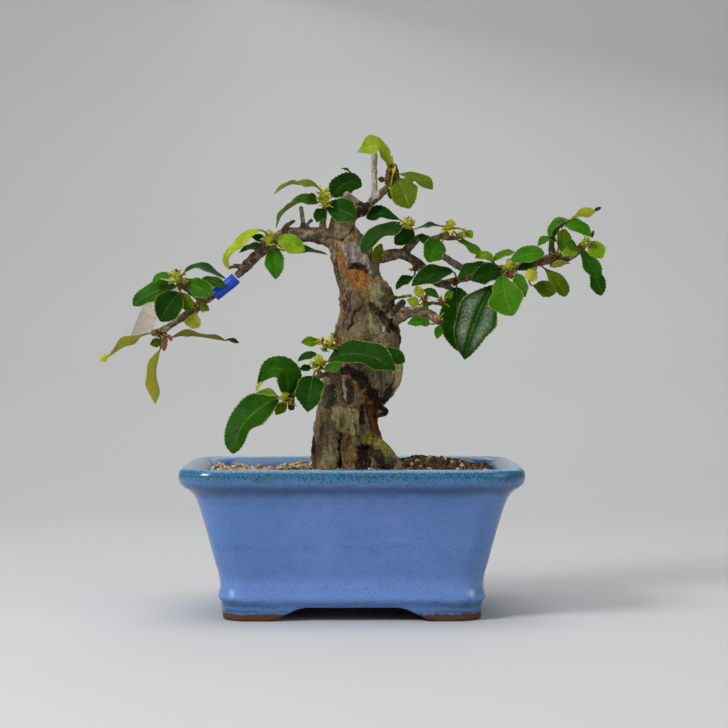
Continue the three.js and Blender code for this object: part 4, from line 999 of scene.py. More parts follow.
# Dark olive: the bark's own olive, and painted shade on the burl's side away from the light
OLIVE_BARK_AND_SHADE = (0.062, 0.052, 0.022)
BEIGE = (0.52, 0.43, 0.19)
OCHRE = (0.165, 0.090, 0.022)
MOSS = (0.25, 0.22, 0.028)
# Near black: dark fissured bark, and painted shade in hollows and between the roots
DARK_BARK_AND_SHADE = (0.030, 0.016, 0.010)
GROOVE = (0.105, 0.070, 0.036)
SHOOT = (0.12, 0.17, 0.018)
DEAD_WOOD = (0.44, 0.40, 0.32)
SCAR = (0.58, 0.49, 0.36)

# Patches of bark seen on the front: colour, outline in pixels and lift in millimetres
PATCHES = (
    (PALE, ((343, 246), (348, 242), (357, 243), (362, 249), (363, 257), (346, 258)), 0.1),
    (PALE, ((345, 256), (358, 254), (366, 256), (371, 263), (373, 273), (370, 276), (367, 268), (361, 262.5),
            (352, 264), (346, 262)), 0.7),
    # Painted shade in the arched hollow
    (DARK_BARK_AND_SHADE, ((351, 265.5), (356, 263.5), (363, 264), (367, 268), (369, 275), (366, 274), (362, 270),
            (351, 269)), -1.5),
    (ORANGE, ((346, 268), (352, 270), (362, 271), (368, 275), (372, 280), (369, 285), (365, 291), (361, 292),
              (355, 288), (349, 281)), -0.3),
    (TAN, ((361, 288), (368, 284), (371, 290), (369, 300), (365, 308), (361.5, 298)), -0.1),
    (ORANGE, ((340, 247), (342.4, 250), (342.8, 259), (347, 268), (343, 269), (338, 262),
              (338.3, 254)), -0.2),
    (ORANGE, ((341, 239), (346, 236.5), (347.5, 241), (343, 243)), -0.2),
    (PLUM, ((348, 290), (355, 291), (361, 296), (363, 304), (353, 314), (349, 331), (341, 325),
            (343.6, 312.7), (340, 299)), 0.6),
    (LICHEN, ((369, 283), (378, 282), (383, 288), (382, 300), (374, 303), (369, 295)), 0.3),
    # Painted shade: the burl's right side, away from the light, in dark olive
    (OLIVE_BARK_AND_SHADE, ((383, 285), (394, 290), (396, 305), (394, 318), (385, 313), (381, 300)), 0.2),
    (GROOVE, ((368, 303), (372, 303), (383, 312), (392, 321), (399, 331), (396, 334), (388, 328), (380, 320),
              (372, 311)), -0.4),
    (LICHEN, ((364, 314), (370, 316), (380, 330), (378, 338), (368, 332)), 0.1),
    (DEAD_WOOD, ((381.2, 327), (384.5, 327), (385, 331.5), (382, 331.5)), 0.1),
    (RUST, ((334, 333), (338, 332), (344, 341), (343, 347), (337, 344)), 0.5),
    (DARK_BARK_AND_SHADE, ((398, 336), (402.5, 337), (402, 345), (399, 345)), 0.4),
    (LICHEN, ((369, 369), (380, 365), (391, 367), (393, 380), (388, 388), (380, 392), (371, 387)), 0.4),
    (BEIGE, ((393, 360), (404, 360), (405, 378), (399, 392), (394, 397), (393, 380)), 0.0),
    (DARK_BARK_AND_SHADE, ((340, 366), (352, 367), (364, 373), (371, 385), (380, 396), (388, 402), (387, 408), (379, 409),
            (373, 402), (364, 391), (356, 381), (343, 374)), -1.0),
    (DARK_BARK_AND_SHADE, ((387, 383), (392, 381), (394, 390), (391, 401), (385, 403), (382, 396)), -0.3),
    (DARK_BARK_AND_SHADE, ((380, 405), (389, 405), (390, 415), (380, 417)), 0.0),
    (RUST, ((366, 398), (372, 401), (378, 410), (381, 422), (380, 440), (374, 437), (370, 424),
            (367, 410)), -0.1),
    (ORANGE, ((354, 382.5), (358, 384), (366, 392), (373, 401), (371, 404), (362, 396), (356, 388)), 0.1),
    (DARK_BARK_AND_SHADE, ((359, 405), (364, 404), (365, 424), (360, 426)), -0.4),
    (RUST, ((378, 424), (384, 431), (383, 439), (379.5, 441)), 0.9),
    (SCAR, ((341.8, 378), (345, 378.5), (346.8, 390), (347, 401), (344.6, 402), (342.6, 392)), 0.1),
    (OLIVE_BARK_AND_SHADE, ((347.6, 379), (351, 378), (354, 386), (354.5, 398), (352, 405), (348, 404)), -0.2),
    (OLIVE_BARK_AND_SHADE, ((323, 386), (336, 383), (337, 405), (330, 410), (322, 408)), 0.0),
    (BEIGE, ((332, 409), (342, 407), (356, 408), (360, 420), (358, 432), (346, 434), (336, 430)), 0.2),
    (OCHRE, ((340, 440), (350, 436), (357, 446), (358, 458), (352, 468), (344, 460)), 0.7),
    (LICHEN, ((324, 452), (334, 449), (341, 456), (343, 468), (326, 469)), 0.3),
    # Painted shade between the front roots
    (DARK_BARK_AND_SHADE, ((357, 447), (361, 441), (372, 451), (373, 472), (357, 472)), -1.3),
    (OLIVE_BARK_AND_SHADE, ((360, 441), (370, 444), (384, 453), (400, 468), (388, 470), (372, 458)), 0.0),
    (MOSS, ((361, 431), (370, 431), (379, 438), (392, 448), (408, 466), (404, 467), (390, 455), (377, 446),
            (365, 440)), 0.0),
    (DARK_BARK_AND_SHADE, ((375, 453), (386, 462), (394, 472), (376, 472)), 0.0),
    (DARK_BARK_AND_SHADE, ((309, 435), (315, 436), (315.5, 453), (310, 454)), 0.6),
    (DARK_BARK_AND_SHADE, ((353, 212), (359, 200), (367, 199), (372, 206), (366, 215), (356, 221)), -0.2),
    (PALE, ((340, 194), (350, 189), (363, 194), (366, 199), (353, 200), (342, 200)), 0.0),
    (DEAD_WOOD, ((370, 150), (378, 150), (378, 198), (370, 198)), 0.0),
    (DEAD_WOOD, ((298, 203), (306, 203), (306, 222), (298, 222)), 0.0),
    (OCHRE, ((385, 195), (399, 160), (402, 162), (390, 198)), 0.0),
    (OLIVE_BARK_AND_SHADE, ((286, 393), (297, 393), (297, 413), (286, 413)), 0.0),
    (DARK_BARK_AND_SHADE, ((392, 298), (406, 298), (403, 312), (392, 316)), 0.0),
    (PALE, ((442, 250), (449, 255), (464, 263), (462, 272), (447, 266), (438, 258)), 0.0),
    (SHOOT, ((390, 293), (413, 292), (413, 299), (390, 300)), 0.0),
    (SHOOT, ((320, 226), (328, 226), (328, 190), (320, 190)), 0.0),
    (SHOOT, ((548, 250), (557, 250), (565, 221), (557, 220)), 0.0),
    (SHOOT, ((420, 310), (429, 310), (446, 307), (446, 300), (420, 294)), 0.0),
)

# Cracks and grain lines: route in pixels, half width in pixels and depth in millimetres
CRACKS = (
    (((370, 303), (379, 311), (388, 319), (398, 334)), 2.2, 1.0),
    (((376, 311), (384, 321), (390, 331)), 1.0, 0.6),
    (((372, 313), (379, 324), (383, 333)), 0.9, 0.5),
    (((362.5, 304.5), (354, 314), (350, 330)), 1.3, 0.8),
    (((347, 296), (346, 306), (350, 312)), 1.1, 0.8),
    (((344, 301), (345.5, 318), (344, 326)), 1.0, 0.7),
    (((352, 293), (349, 303), (351, 310)), 0.9, 0.6),
    (((341, 380), (341.5, 400), (346, 403.5)), 0.8, 0.5),
    (((347.2, 381), (347.6, 402)), 0.8, 0.5),
    (((329, 238), (341, 240), (349, 234), (354, 227)), 1.2, 0.7),
    (((338, 244), (337, 262), (341, 280), (343, 296)), 1.0, 0.35),
    (((341, 434), (339.5, 450), (341, 470)), 1.5, 1.3),
    (((320, 412), (319, 430), (323, 448)), 1.0, 0.4),
    (((352, 408), (354, 425), (360, 438)), 0.8, 0.4),
    (((366, 399), (368, 415), (373, 436)), 1.0, 0.5),
    (((370, 396), (375, 412), (377, 430)), 0.9, 0.5),
    (((331, 386), (333, 402), (331, 408)), 0.9, 0.4),
    (((359, 345), (366, 353), (378, 356)), 1.2, 0.5),
)

# Domed ends of a limb: steps forward and shares of the width
START_DOME = ((-0.6, 0.55), (-0.25, 0.9), (0.0, 1.0))
END_DOME = ((0.0, 1.0), (0.22, 0.88), (0.42, 0.5))


def limb(skin, route, steps=6, sides=16):
    """A tube of uneven round section along a route, with domed ends."""
    points = [(*seen(px, py, depth), wide * pixel_size(depth) / 2) for px, py, depth, wide in route]
    rows = smooth_route(points, steps)
    across = Vector((0.31, 0.87, 0.38))
    rings = []
    for i, (x, y, z, radius) in enumerate(rows):
        way = way_at(rows, i)
        across, second = square_to(way, across)
        ends = START_DOME if i == 0 else END_DOME if i == len(rows) - 1 else ((0.0, 1.0),)
        for forward, share in ends:
            ring = []
            middle = Vector((x, y, z)) + way * radius * forward
            for angle in turns(sides):
                reach = radius * share * (1.0 + LIMB_OVAL * math.sin(2.0 * angle + i * 0.5))
                ring.append(skin.point(middle + on_circle(across, second, angle) * reach))
            rings.append(ring)
    skin.bar(rings)


def trunk(skin, sides=72):
    rings = []
    for i, (row, left, right, depth) in enumerate(smooth_route(TRUNK_EDGES, 5)):
        middle = seen((left + right) / 2, row, depth)
        half = (right - left) / 2 * pixel_size(depth)
        ring = []
        for angle in turns(sides):
            ridge = 1.0 + RIDGE_RISE * math.sin(TRUNK_RIDGES * angle + RIDGE_TWIST * i) * math.sin(angle) ** 2
            x = half * math.cos(angle)
            y = half * TRUNK_FLATNESS * ridge * math.sin(angle)
            ring.append(skin.point(middle + Vector((x, y, 0.0))))
        rings.append(ring)
    skin.bar(rings)


def lump(skin, at, depth, half, rows=12, sides=20):
    middle = seen(*at, depth)
    size = [pixels * pixel_size(depth) for pixels in half]
    rings = []
    for i in range(1, rows):
        tilt = math.pi * i / rows
        ring = []
        for angle in turns(sides):
            x = size[0] * math.sin(tilt) * math.cos(angle)
            y = size[2] * math.sin(tilt) * math.sin(angle)
            ring.append(skin.point(middle + Vector((x, y, -size[1] * math.cos(tilt)))))
        rings.append(ring)
    skin.shell(rings, middle - UP * size[1], middle + UP * size[1])


def trunk_share(place):
    """1 on the trunk and the roots, and about a fifth out on the branches."""
    px, py = pixel_of(place)
    if py > SOIL_ROW:
        return 1.0
    for lower, upper in zip(TRUNK_EDGES, TRUNK_EDGES[1:]):
        if upper[0] <= py <= lower[0]:
            share = (py - upper[0]) / (lower[0] - upper[0])
            left = blend(upper[1], lower[1], share)
            right = blend(upper[2], lower[2], share)
            half = (right - left) / 2
            offset = math.hypot((px - (left + right) / 2) / half, place.y / (half * pixel_size(0.0)))
            return 1.0 - ease(offset, 1.15, 1.7) * 0.8
    return BRANCH_SHARE


def gap_to_line(spot, start, end):
    """Distance in the picture from a spot to the line between two corners."""
    first = Vector(start)
    run = Vector(end) - first
    along = min(1.0, max(0.0, (spot - first).dot(run) / run.dot(run)))
    return (spot - first - run * along).length


def inside_share(px, py, outline):
    """1 well inside an outline and 0 well outside it, with a soft edge."""
    spot = Vector((px, py))
    inside = False
    gaps = []
    for start, end in zip(outline, outline[1:] + outline[:1]):
        if (start[1] > py) != (end[1] > py):
            if px < start[0] + (py - start[1]) * (end[0] - start[0]) / (end[1] - start[1]):
                inside = not inside
        gaps.append(gap_to_line(spot, start, end))
    return ease(min(gaps) if inside else -min(gaps), -1.0, 1.6)


def crack_share(px, py, route, half):
    spot = Vector((px, py))
    nearest = min(gap_to_line(spot, start, end) for start, end in zip(route, route[1:]))
    return 1.0 - ease(nearest, half * 0.3, half)


def near(outline, px, py, margin):
    """Whether a pixel is within a margin of an outline's box."""
    columns, rows = zip(*outline)
    wide = min(columns) - margin < px < max(columns) + margin
    return wide and min(rows) - margin < py < max(rows) + margin


PLATE_SIZE = (5.2, 7.5)
FURROW_SIZE = (2.2, 12.0)
SWELL_SIZE = 8.0
KNOB_SIZE = 2.0
CRUMB_SIZE = 1.1
RELIEF = {"swell": 0.50, "furrow": 0.34, "crumb": 0.28, "knob": 0.30, "branch": 0.25}
PLATED_OVER = 0.05
BARED_UNDER = -0.25
BROAD_PATCH = 14.0
WANDER = 4.0


def drawn_out(place, wide, tall):
    """A place in cells that are taller than wide, as bark plates are."""
    return Vector((place.x / wide, place.y / wide, place.z / tall))


def shape_bark(piece, settings):
    """Lifts flakes and cuts cracks in the fused wood, and paints the patches of its bark."""
    mesh = piece.data
    marks = {name: [0.0] * len(mesh.vertices) for name in ("plate", "bared", "twig", "crack_and_shade")}
    patches = []
    for tint, outline, height in PATCHES:
        columns = [column for column, _ in outline]
        broad = min(1.0, (max(columns) - min(columns)) / BROAD_PATCH)
        patches.append((Vector(tint), outline, height, broad))
    skin = [(vertex.co / MM, vertex.normal.copy()) for vertex in mesh.vertices]
    moved = []
    painted = []
    for index, (place, normal) in enumerate(skin):
        stout = trunk_share(place)
        px, py = pixel_of(place)
        warp = Vector((noise.noise(place * 0.19), noise.noise(place * 0.19 + Vector((9.0, 4.0, 2.0))), 0.0))
        distances, spots = noise.voronoi(drawn_out(place, *PLATE_SIZE) + warp * 0.7)
        kind = noise.noise(spots[0] * 5.3 + Vector((3.1, 0.0, 0.0)))
        rim = ease(distances[1] - distances[0], 0.04, 0.16)
        plate = rim * (1.0 if kind > PLATED_OVER else 0.0)
        furrow = noise.noise(drawn_out(place, *FURROW_SIZE))
        swell = noise.noise(place / SWELL_SIZE)
        crumb = noise.noise(place / CRUMB_SIZE)
        lift = stout * (RELIEF["swell"] * swell + RELIEF["furrow"] * furrow + settings.flake * plate)
        lift += RELIEF["crumb"] * crumb + RELIEF["knob"] * noise.noise(place / KNOB_SIZE)
        lift += (1.0 - stout) * RELIEF["branch"] * swell
        marks["plate"][index] = plate * stout
        marks["bared"][index] = 0.6 * rim * stout if kind < BARED_UNDER else 0.0
        marks["twig"][index] = 1.0 - stout
        # Painted shade with the bark's own dark: darker down in the hollows of the furrows
        marks["crack_and_shade"][index] = ease(-furrow, 0.28, 0.5) * stout * 0.6
        facing = ease(-normal.y, -0.15, 0.3)
        color = Vector(PALE)
        amount = 0.0
        if facing > 0.0:
            wander_x = px + WANDER * noise.noise(place * 0.4) + 2.5 * crumb
            wander_y = py + WANDER * noise.noise(place * 0.4 + Vector((5.0, 5.0, 5.0))) + 2.5 * swell
            for tint, outline, height, broad in patches:
                if near(outline, px, py, 3.0):
                    share = inside_share(blend(px, wander_x, broad), blend(py, wander_y, broad), outline)
                    share *= facing
                    color = color.lerp(tint, share if amount > 0.0 else 1.0)
                    amount = max(amount, share * blend(1.5, 1.2, broad))
                    lift = blend(lift, lift * 0.6 + height, share)
            for route, half, depth in CRACKS:
                if near(route, px, py, 4.0):
                    share = crack_share(blend(px, wander_x, 0.5), blend(py, wander_y, 0.5), route, half)
                    share *= facing
                    lift -= depth * share
                    marks["crack_and_shade"][index] = max(marks["crack_and_shade"][index], share)
        if py > SOIL_ROW:
            lift = min(lift, 0.0)
        moved.extend((place + normal * lift) * MM)
        painted.extend((*color, amount))
    mesh.vertices.foreach_set("co", moved)
    write_marks(mesh, marks)
    mesh.attributes.new("patch", "FLOAT_COLOR", "POINT").data.foreach_set("color", painted)
    mesh.update()


MELT_STEPS = 3


def build_wood(settings):
    skin = Skin()
    trunk(skin)
    for at, depth, half in TRUNK_LUMPS:
        lump(skin, at, depth, half)
    for route in LIMBS.values():
        limb(skin, route)
    wood = skin.make("wood_bark", [bark_finish(settings)])
    fuse = wood.modifiers.new("Fuse", "REMESH")
    fuse.mode = "VOXEL"
    fuse.voxel_size = settings.grain * MM
    fuse.use_smooth_shade = True
    melt = wood.modifiers.new("Melt", "SMOOTH")
    melt.factor = 0.5
    melt.iterations = MELT_STEPS
    apply_modifiers(wood)
    shape_bark(wood, settings)
    finished(wood, "bark", "wood")


# Leaves

BLADE_RATIO = 0.5
BLADE_FOLD = 0.22
BLADE_ARCH = 0.07
ACROSS_STEPS = 4
TEETH_LEAST = 5
TEETH_MOST = 22
TOOTH_OUT = 0.26
TOOTH_IN = -0.12
TOOTH_NOTCH = 0.12
TOOTH_POINT = 0.86
TOOTHED_HALF = 2.2
EDGE_UNEVEN = 0.26
EDGE_THINNING = 0.55
RIPPLE_RATE = 9.5
QUILT_RISE = 0.10
RIB_GROOVE = 0.16
STALK_RADIUS = 0.36
COLLAR_RADIUS = 1.35
SMALL_THICKNESS = 0.26
BUD_AHEAD = 1.7

# Finishes of a spray's faces
MATURE, YOUNG, SCALY = 0, 1, 2

# Tones of a blade, from dark to light; a bract has the finish of bud scales
DARK = 0.02
DEEP = 0.18
GREEN = 0.42
OLIVE = 0.58
BRIGHT = 0.76
LIME = 0.94
BRACT = -1.0


def leaf(start, end, wide, depth, tone, via=(), side=1, stalked=True, **form):
    """One leaf: the ends and width of its blade in pixels, the depths of both ends, and its tone."""
    if via and not isinstance(via[0], tuple):
        via = (via,)
    return {"start": start, "end": end, "wide": wide, "depth": depth, "tone": tone, "via": via, "side": side,
            "stalked": stalked, "form": form}


def spray(name, collar, bud=None, tufts=(), mature=(), young=()):
    """All that grows from one spur: buds and tufts have a middle and half sizes, all in pixels."""
    return {"name": name, "collar": collar, "bud": bud, "tufts": tufts, "mature": mature, "young": young}


SPRAYS = (
    spray("left_tip", (159, 334, -11.5), mature=(
        leaf((152.4, 332.7), (109.5, 354.5), 5.5, (-10, -8.4), 0.66,
             via=((140, 336.5), (127, 344), (117, 349.5)), side=-1, belly=0.58, twist=0.2),
        leaf((110, 354.5), (100.5, 361), 7.5, (-8.4, -8), 0.8, side=-1, stalked=False, blunt=1.0,
             belly=0.6),
        leaf((161, 348), (153.4, 404), 10.5, (-12, -16), 0.84, side=-1, belly=0.62, twist=0.1, blunt=0.3,
             via=((157.5, 357), (155.2, 367), (155, 384), (155, 394))),
        leaf((161, 343), (150.5, 344.5), 9.5, (-12, -15), OLIVE, blunt=0.8),
        leaf((171.5, 337.5), (226, 340), 4, (-10, -4), 0.36, via=((183, 335.5), (200, 336.5), (214, 338.5)),
             side=-1, twist=0.1),
        leaf((225.5, 340), (239, 343), 3.5, (-4, -3), DARK, stalked=False, twist=0.5),
        leaf((166, 335), (164, 351), 7, (-13, -15), BRACT),
        leaf((168, 335), (172, 341), 4, (-13, -14), BRACT),
    )),
    spray("left_spur", (178, 279, -12), bud=((177.3, 276.5), (8, 9)), mature=(
        leaf((177, 286.5), (132.3, 304.5), 19, (-12.5, -13), DEEP, blunt=0.8, belly=0.5),
        leaf((180, 293), (161, 321), 28, (-14, -24), DARK, blunt=0.9),
        leaf((184, 273), (226, 278.5), 7, (-11, -5), DARK, via=((193, 267.5), (203, 268.5), (214, 273.5))),
        leaf((186, 284), (212, 295), 19, (-14.5, -20), GREEN, blunt=0.7),
        leaf((201, 279.5), (226, 286.5), 9.5, (-12.5, -13.5), DEEP),
        leaf((181, 293), (191, 312), 14, (-12.5, -14), OLIVE),
    ), young=(
        leaf((170.6, 279.5), (151.4, 283.5), 7, (-17, -15), GREEN, via=(162, 276)),
    )),
    spray("left_low", (199, 308, -11.5), mature=(
        leaf((196, 312), (192, 329), 17, (-12.5, -17), 0.70, side=-1, blunt=0.8, belly=0.65),
        leaf((199.5, 307), (209, 310.5), 8.5, (-12.5, -14), 0.64, blunt=1.0),
    )),
    spray("left_crown", (270.5, 242, -7.6), bud=((270, 239), (8, 9)), mature=(
        leaf((266, 240), (252, 237), 8, (-8.5, -11), DARK),
        leaf((263, 247), (239, 252), 8, (-8.5, -9.5), DARK),
        leaf((273, 249), (276, 278), 19, (-9.5, -17), GREEN),
        leaf((282, 250.5), (327.7, 252), 6.5, (-8.5, -5), DARK, via=(305, 251), twist=0.0, belly=0.6),
    ), young=(
        leaf((262, 229.5), (228, 270), 12, (-15, -12), 0.85, via=((251, 234.5), (239.5, 245), (228, 257)),
             twist=0.2, belly=0.6, blunt=0.9),
        leaf((277, 240), (304, 251), 18, (-13.5, -19), BRIGHT, blunt=0.9),
    )),
    spray("crown_left", (324.4, 199, -2.2), bud=((324.4, 198.5), (7, 11.5)), mature=(
        leaf((318, 203), (273, 226), 9.5, (-3.5, -8), GREEN, via=((304, 201), (293, 205.5), (281, 213.5)),
             twist=1.2),
        leaf((332, 197), (362.3, 186), 22, (-3, 3), DARK, via=((339.5, 187), (350, 182)), blunt=0.9,
             belly=0.46, twist=0.1),
        leaf((351, 172.5), (341, 168), 2.5, (2, 2), DARK, stalked=False, twist=0.1),
        leaf((326.5, 206.5), (355.5, 217.5), 24, (-4, -10), 0.10, blunt=1.0, belly=0.55, twist=0.1),
        leaf((324, 209), (317, 222), 13, (-4, -8), DARK),
        leaf((317, 198), (306, 196.5), 6, (-3, -4), OLIVE),
    ), young=(
        leaf((320, 189), (273.8, 193.5), 8, (-8, -12), 0.64,
             via=((312, 185), (300, 184.5), (291, 184), (282, 188)), belly=0.6, twist=0.8),
    )),
    spray("crown_top", (391.5, 171, 1.2), mature=(
        leaf((386.5, 163), (357, 151), 16.5, (0.5, -3), 0.84,
             via=((385.5, 156), (382, 149.5), (376.5, 145.5), (367, 147.5)), belly=0.5, blunt=0.0,
             twist=0.1),
        leaf((388, 165.5), (392.5, 156), 8, (0.5, -1), 0.86),
        leaf((399, 174), (433, 188), 12, (0, -4), 0.60, via=((409, 176.5), (421, 181)), belly=0.62,
             blunt=0.9, twist=0.2),
        leaf((397.5, 178), (409, 207.5), 28, (-0.5, -8), 0.60, blunt=0.7, belly=0.6, twist=0.2),
        leaf((384, 181), (378, 179), 6, (0.5, -2), OLIVE),
        leaf((390, 190), (393.5, 163), 14, (5.5, 5), 0.56, stalked=False, blunt=1.0, twist=0.1),
        leaf((387, 187), (390, 168), 3, (-0.5, -1), BRACT, stalked=False),
        leaf((390.5, 186), (395, 166), 2.6, (-1.6, -2), 0.95, stalked=False, twist=0.1),
        leaf((388, 187), (397.5, 195.5), 4, (-1.5, -3.5), 0.95, stalked=False, twist=0.1),
    )),
    spray("mid_right", (408.7, 226, 0.8), bud=((408.7, 223.7), (7, 7)), mature=(
        leaf((401, 220.5), (366, 217.5), 15, (1, 4), DARK, via=((391, 216.5), (380, 213.5)), belly=0.7,
             blunt=0.7, twist=0.1),
        leaf((398, 222), (361.5, 252), 19, (-1, -13), DARK, via=((390, 230.5), (377, 236)), belly=0.42,
             blunt=0.9, twist=0.1),
        leaf((414, 231), (395.5, 244), 17, (0.8, -4), DARK, blunt=1.0),
    )),
    spray("right_upper", (449.5, 228.5, 1.7), bud=((449.7, 227), (8, 7.5)),
          tufts=(((463.5, 233.5), 6),), mature=(
        leaf((441.5, 242), (428.5, 262), 22, (0.5, -6), 0.36, blunt=1.0),
        leaf((418, 236), (432, 245), 9, (-1, -2), DARK, stalked=False),
        leaf((466, 231), (472, 238), 8, (-1, -3), 0.66, blunt=1.0),
        leaf((441, 226), (415.5, 227.5), 4.5, (2, 3), DEEP, via=(428, 226), twist=0.1),
        leaf((458, 240.5), (484, 257.5), 9, (1, -1), OLIVE, via=(470, 247.5)),
        leaf((494, 261), (475, 258), 9, (0, -2), 0.70, via=(485, 256)),
    )),
    spray("right_inner", (456, 282, 4.9), mature=(
        leaf((453, 271), (411.6, 284), 18, (1.5, -4), DARK, blunt=0.7, twist=0.1),
        leaf((456.5, 287), (459.6, 351.6), 37, (3, 1), 0.14, belly=0.5, twist=0.1),
    )),
    spray("right_centre", (508, 269, 0.7), bud=((510, 267), (7, 7)), mature=(
        leaf((488.7, 265.5), (458, 277), 12, (0, -3), DARK),
        leaf((501.5, 271.5), (473, 280.5), 19, (-1.5, -9), DARK, blunt=0.9),
        # The big leaf below carries a painted highlight, a pale sheen
        leaf((493.6, 285), (463.7, 358), 40, (-3, -13), DARK, sheen=0.9, belly=0.53, twist=0.1),
        leaf((493.7, 260.5), (515, 251.4), 8, (1, 2), OLIVE),
    ), young=(
        leaf((503.5, 275), (513.5, 315), 34, (-8, -18), 0.46, via=(505, 297), belly=0.6, twist=0.1,
             blunt=0.7),
        leaf((516, 274), (525, 297), 14, (-5, -9), 0.45, blunt=0.8),
        leaf((509.5, 261.5), (544, 253), 16, (-4, -9), 0.48, blunt=0.7, belly=0.56),
        leaf((508, 271), (512, 279), 7, (-5, -6), BRACT, stalked=False),
        leaf((504, 272), (508, 278), 5, (-5, -6), BRACT, stalked=False),
    )),
    spray("right_mid", (533, 264.5, -1.6), mature=(
        leaf((536, 269), (528.5, 281), 13, (-4.5, -8), 0.80, side=-1, blunt=0.9),
        leaf((533, 286), (556, 292.5), 17, (-1.5, -3), 0.60, blunt=1.0, belly=0.62, twist=0.1),
        leaf((537, 261.5), (518, 270), 10, (-4.5, -3), DARK, stalked=False),
        leaf((545, 258.5), (535, 265.5), 6, (-5.5, -6), BRACT, stalked=False),
    )),
    spray("right_outer", (555, 256, -3.6), mature=(
        leaf((541, 266), (566, 296), 15, (-5, -9), 0.54, belly=0.70, blunt=1.0, twist=0.1),
        leaf((551, 267), (570.5, 263), 6, (-4.5, -6), 0.60, side=-1),
        leaf((561.5, 252), (565, 229), 14, (-6, -9), 0.54, blunt=0.9, belly=0.6),
        leaf((557, 241), (537.5, 245), 7, (-4.5, -6), GREEN, via=(547, 239.5), twist=0.2),
    )),
    spray("right_high", (561, 224.5, -5.4), mature=(
        leaf((569, 220.5), (549, 237), 7, (-5.5, -6), GREEN, via=((560, 222), (552.5, 228)), blunt=0.7,
             twist=0.1),
        leaf((568, 220.5), (595.5, 211), 8, (-6.5, -9), 0.84, via=(582, 214.5), side=-1, belly=0.70,
             blunt=0.8),
        leaf((594.5, 211), (601.5, 207.5), 3.5, (-9, -9.5), DARK, stalked=False),
        leaf((563.5, 223.5), (591.5, 236), 13.5, (-6.5, -10), GREEN, via=(578, 227), twist=0.1),
    )),
    spray("right_end", (582, 249, -5.4), bud=((587, 241), (5, 5.5)), mature=(
        leaf((589.5, 243.5), (602.5, 258), 17, (-7, -10), 0.84, blunt=1.0, belly=0.5, twist=0.1),
        leaf((579, 249), (598.5, 278), 17, (-8, -14), DEEP, via=(589, 261), belly=0.64, blunt=0.8),
        leaf((591.5, 270), (601.5, 295.5), 16, (-5.5, -4), DEEP, blunt=0.9, twist=0.2),
        leaf((577, 250), (562.5, 256), 10, (-9, -14), 0.70, blunt=1.0),
        leaf((577, 247), (565, 243.5), 8, (-9, -13), 0.50, blunt=0.8),
        leaf((592, 238), (594, 230), 3, (-8, -8), OLIVE, stalked=False),
    )),
    spray("trunk_fork", (415, 268.5, 3), mature=(
        leaf((413, 277), (396, 288.5), 9, (2, -2), DARK),
    )),
    spray("low_shoot", (424.5, 299, -17), mature=(
        leaf((421.5, 298), (416, 285.5), 10, (-17.5, -19), 0.86),
        leaf((419, 305), (407, 300), 10, (-17.5, -20), 0.86),
    )),
    spray("low_twig", (441.5, 302.5, -15.2), mature=(
        leaf((439, 298), (423.5, 289.5), 8, (-15.5, -15), DEEP),
        leaf((444, 300), (453.5, 291.5), 8, (-15.5, -16), OLIVE),
    )),
    spray("low_end", (439, 321, -19.3), mature=(
        leaf((430, 324), (407.5, 323), 10, (-20, -21), 0.36, blunt=0.8, twist=0.1),
        leaf((440, 325), (437, 338.7), 9, (-20, -22), GREEN),
    )),
    spray("front_left", (289, 398, -23.2), bud=((284.5, 398), (7, 6.5)),
          tufts=(((290.5, 401), 5),), mature=(
        leaf((277.5, 397), (232, 453), 31, (-25, -34), 0.2, via=((256, 411.5), (241, 428)), blunt=1.0,
             belly=0.44, twist=0.1),
        leaf((288, 394), (257.5, 384), 27, (-24, -31), 0.24, via=((288, 381), (282, 368.5), (269, 369)),
             twist=0.1, belly=0.32, blunt=0.25),
        leaf((287, 402), (275.5, 415), 11, (-24, -23), 0.68),
    ), young=(
        leaf((278, 396.5), (255.5, 393), 6, (-29, -33), 0.80, via=((271, 393.5), (263, 393)), twist=0.1),
        leaf((256, 391), (263, 381.5), 3.5, (-33, -34), 0.84, stalked=False, twist=0.2),
    )),
    spray("front_trunk", (318, 367, -18.4), bud=((318.5, 363.5), (8.5, 8.5)), mature=(
        leaf((313, 376.5), (307.5, 411), 28.5, (-22, -30), DARK, belly=0.42, blunt=0.5),
        leaf((317, 354.5), (297.5, 361), 8, (-18.5, -19), DARK),
        leaf((311, 368), (300, 369), 7, (-18.5, -20), DARK),
        leaf((328, 361), (396, 367.5), 25, (-20.5, -24), DARK, via=((342, 355.5), (361, 355), (379, 359.5)),
             twist=0.1, belly=0.54),
        leaf((378, 352), (405, 362), 14, (-19, -14), DEEP, stalked=False, blunt=0.9, belly=0.6, twist=0.1),
    ), young=(
        leaf((325, 369), (341, 366.5), 10, (-25, -28), GREEN),
    )),
    spray("trunk_bud", (329, 345.5, -14.6),
          tufts=(((331, 343.5), 8), ((321, 341.5), 5), ((324, 349), 4)), mature=(
        leaf((319, 342.5), (301, 342.5), 10, (-15, -17), 0.80),
    )),
    spray("trunk_shoot", (375, 257, -5), mature=(
        leaf((373.5, 262), (382, 244.5), 9.5, (-6.5, -8), 0.66, stalked=False, twist=0.3),
        leaf((377, 254), (381.4, 243.6), 5, (-5.5, -7), BRIGHT),
    )),
    spray("back_right", (470, 311.5, 36.9), mature=(
        leaf((466, 318), (456, 344), 17, (39, 44), DEEP),
        leaf((473, 317), (478, 343), 17, (38, 48), DEEP),
        leaf((475, 310), (487, 300), 13, (39, 48), GREEN),
        leaf((464, 310), (451, 306), 12, (36, 30), DEEP),
    )),
    spray("back_trunk", (371, 318.5, 38.4), mature=(
        leaf((366, 323), (351, 347), 20, (39, 46), DEEP),
        leaf((376, 323), (388, 347), 20, (39, 45), DEEP),
        leaf((372, 312), (377, 290), 18, (40, 47), GREEN),
        leaf((364, 316), (348, 305), 15, (38, 40), DEEP),
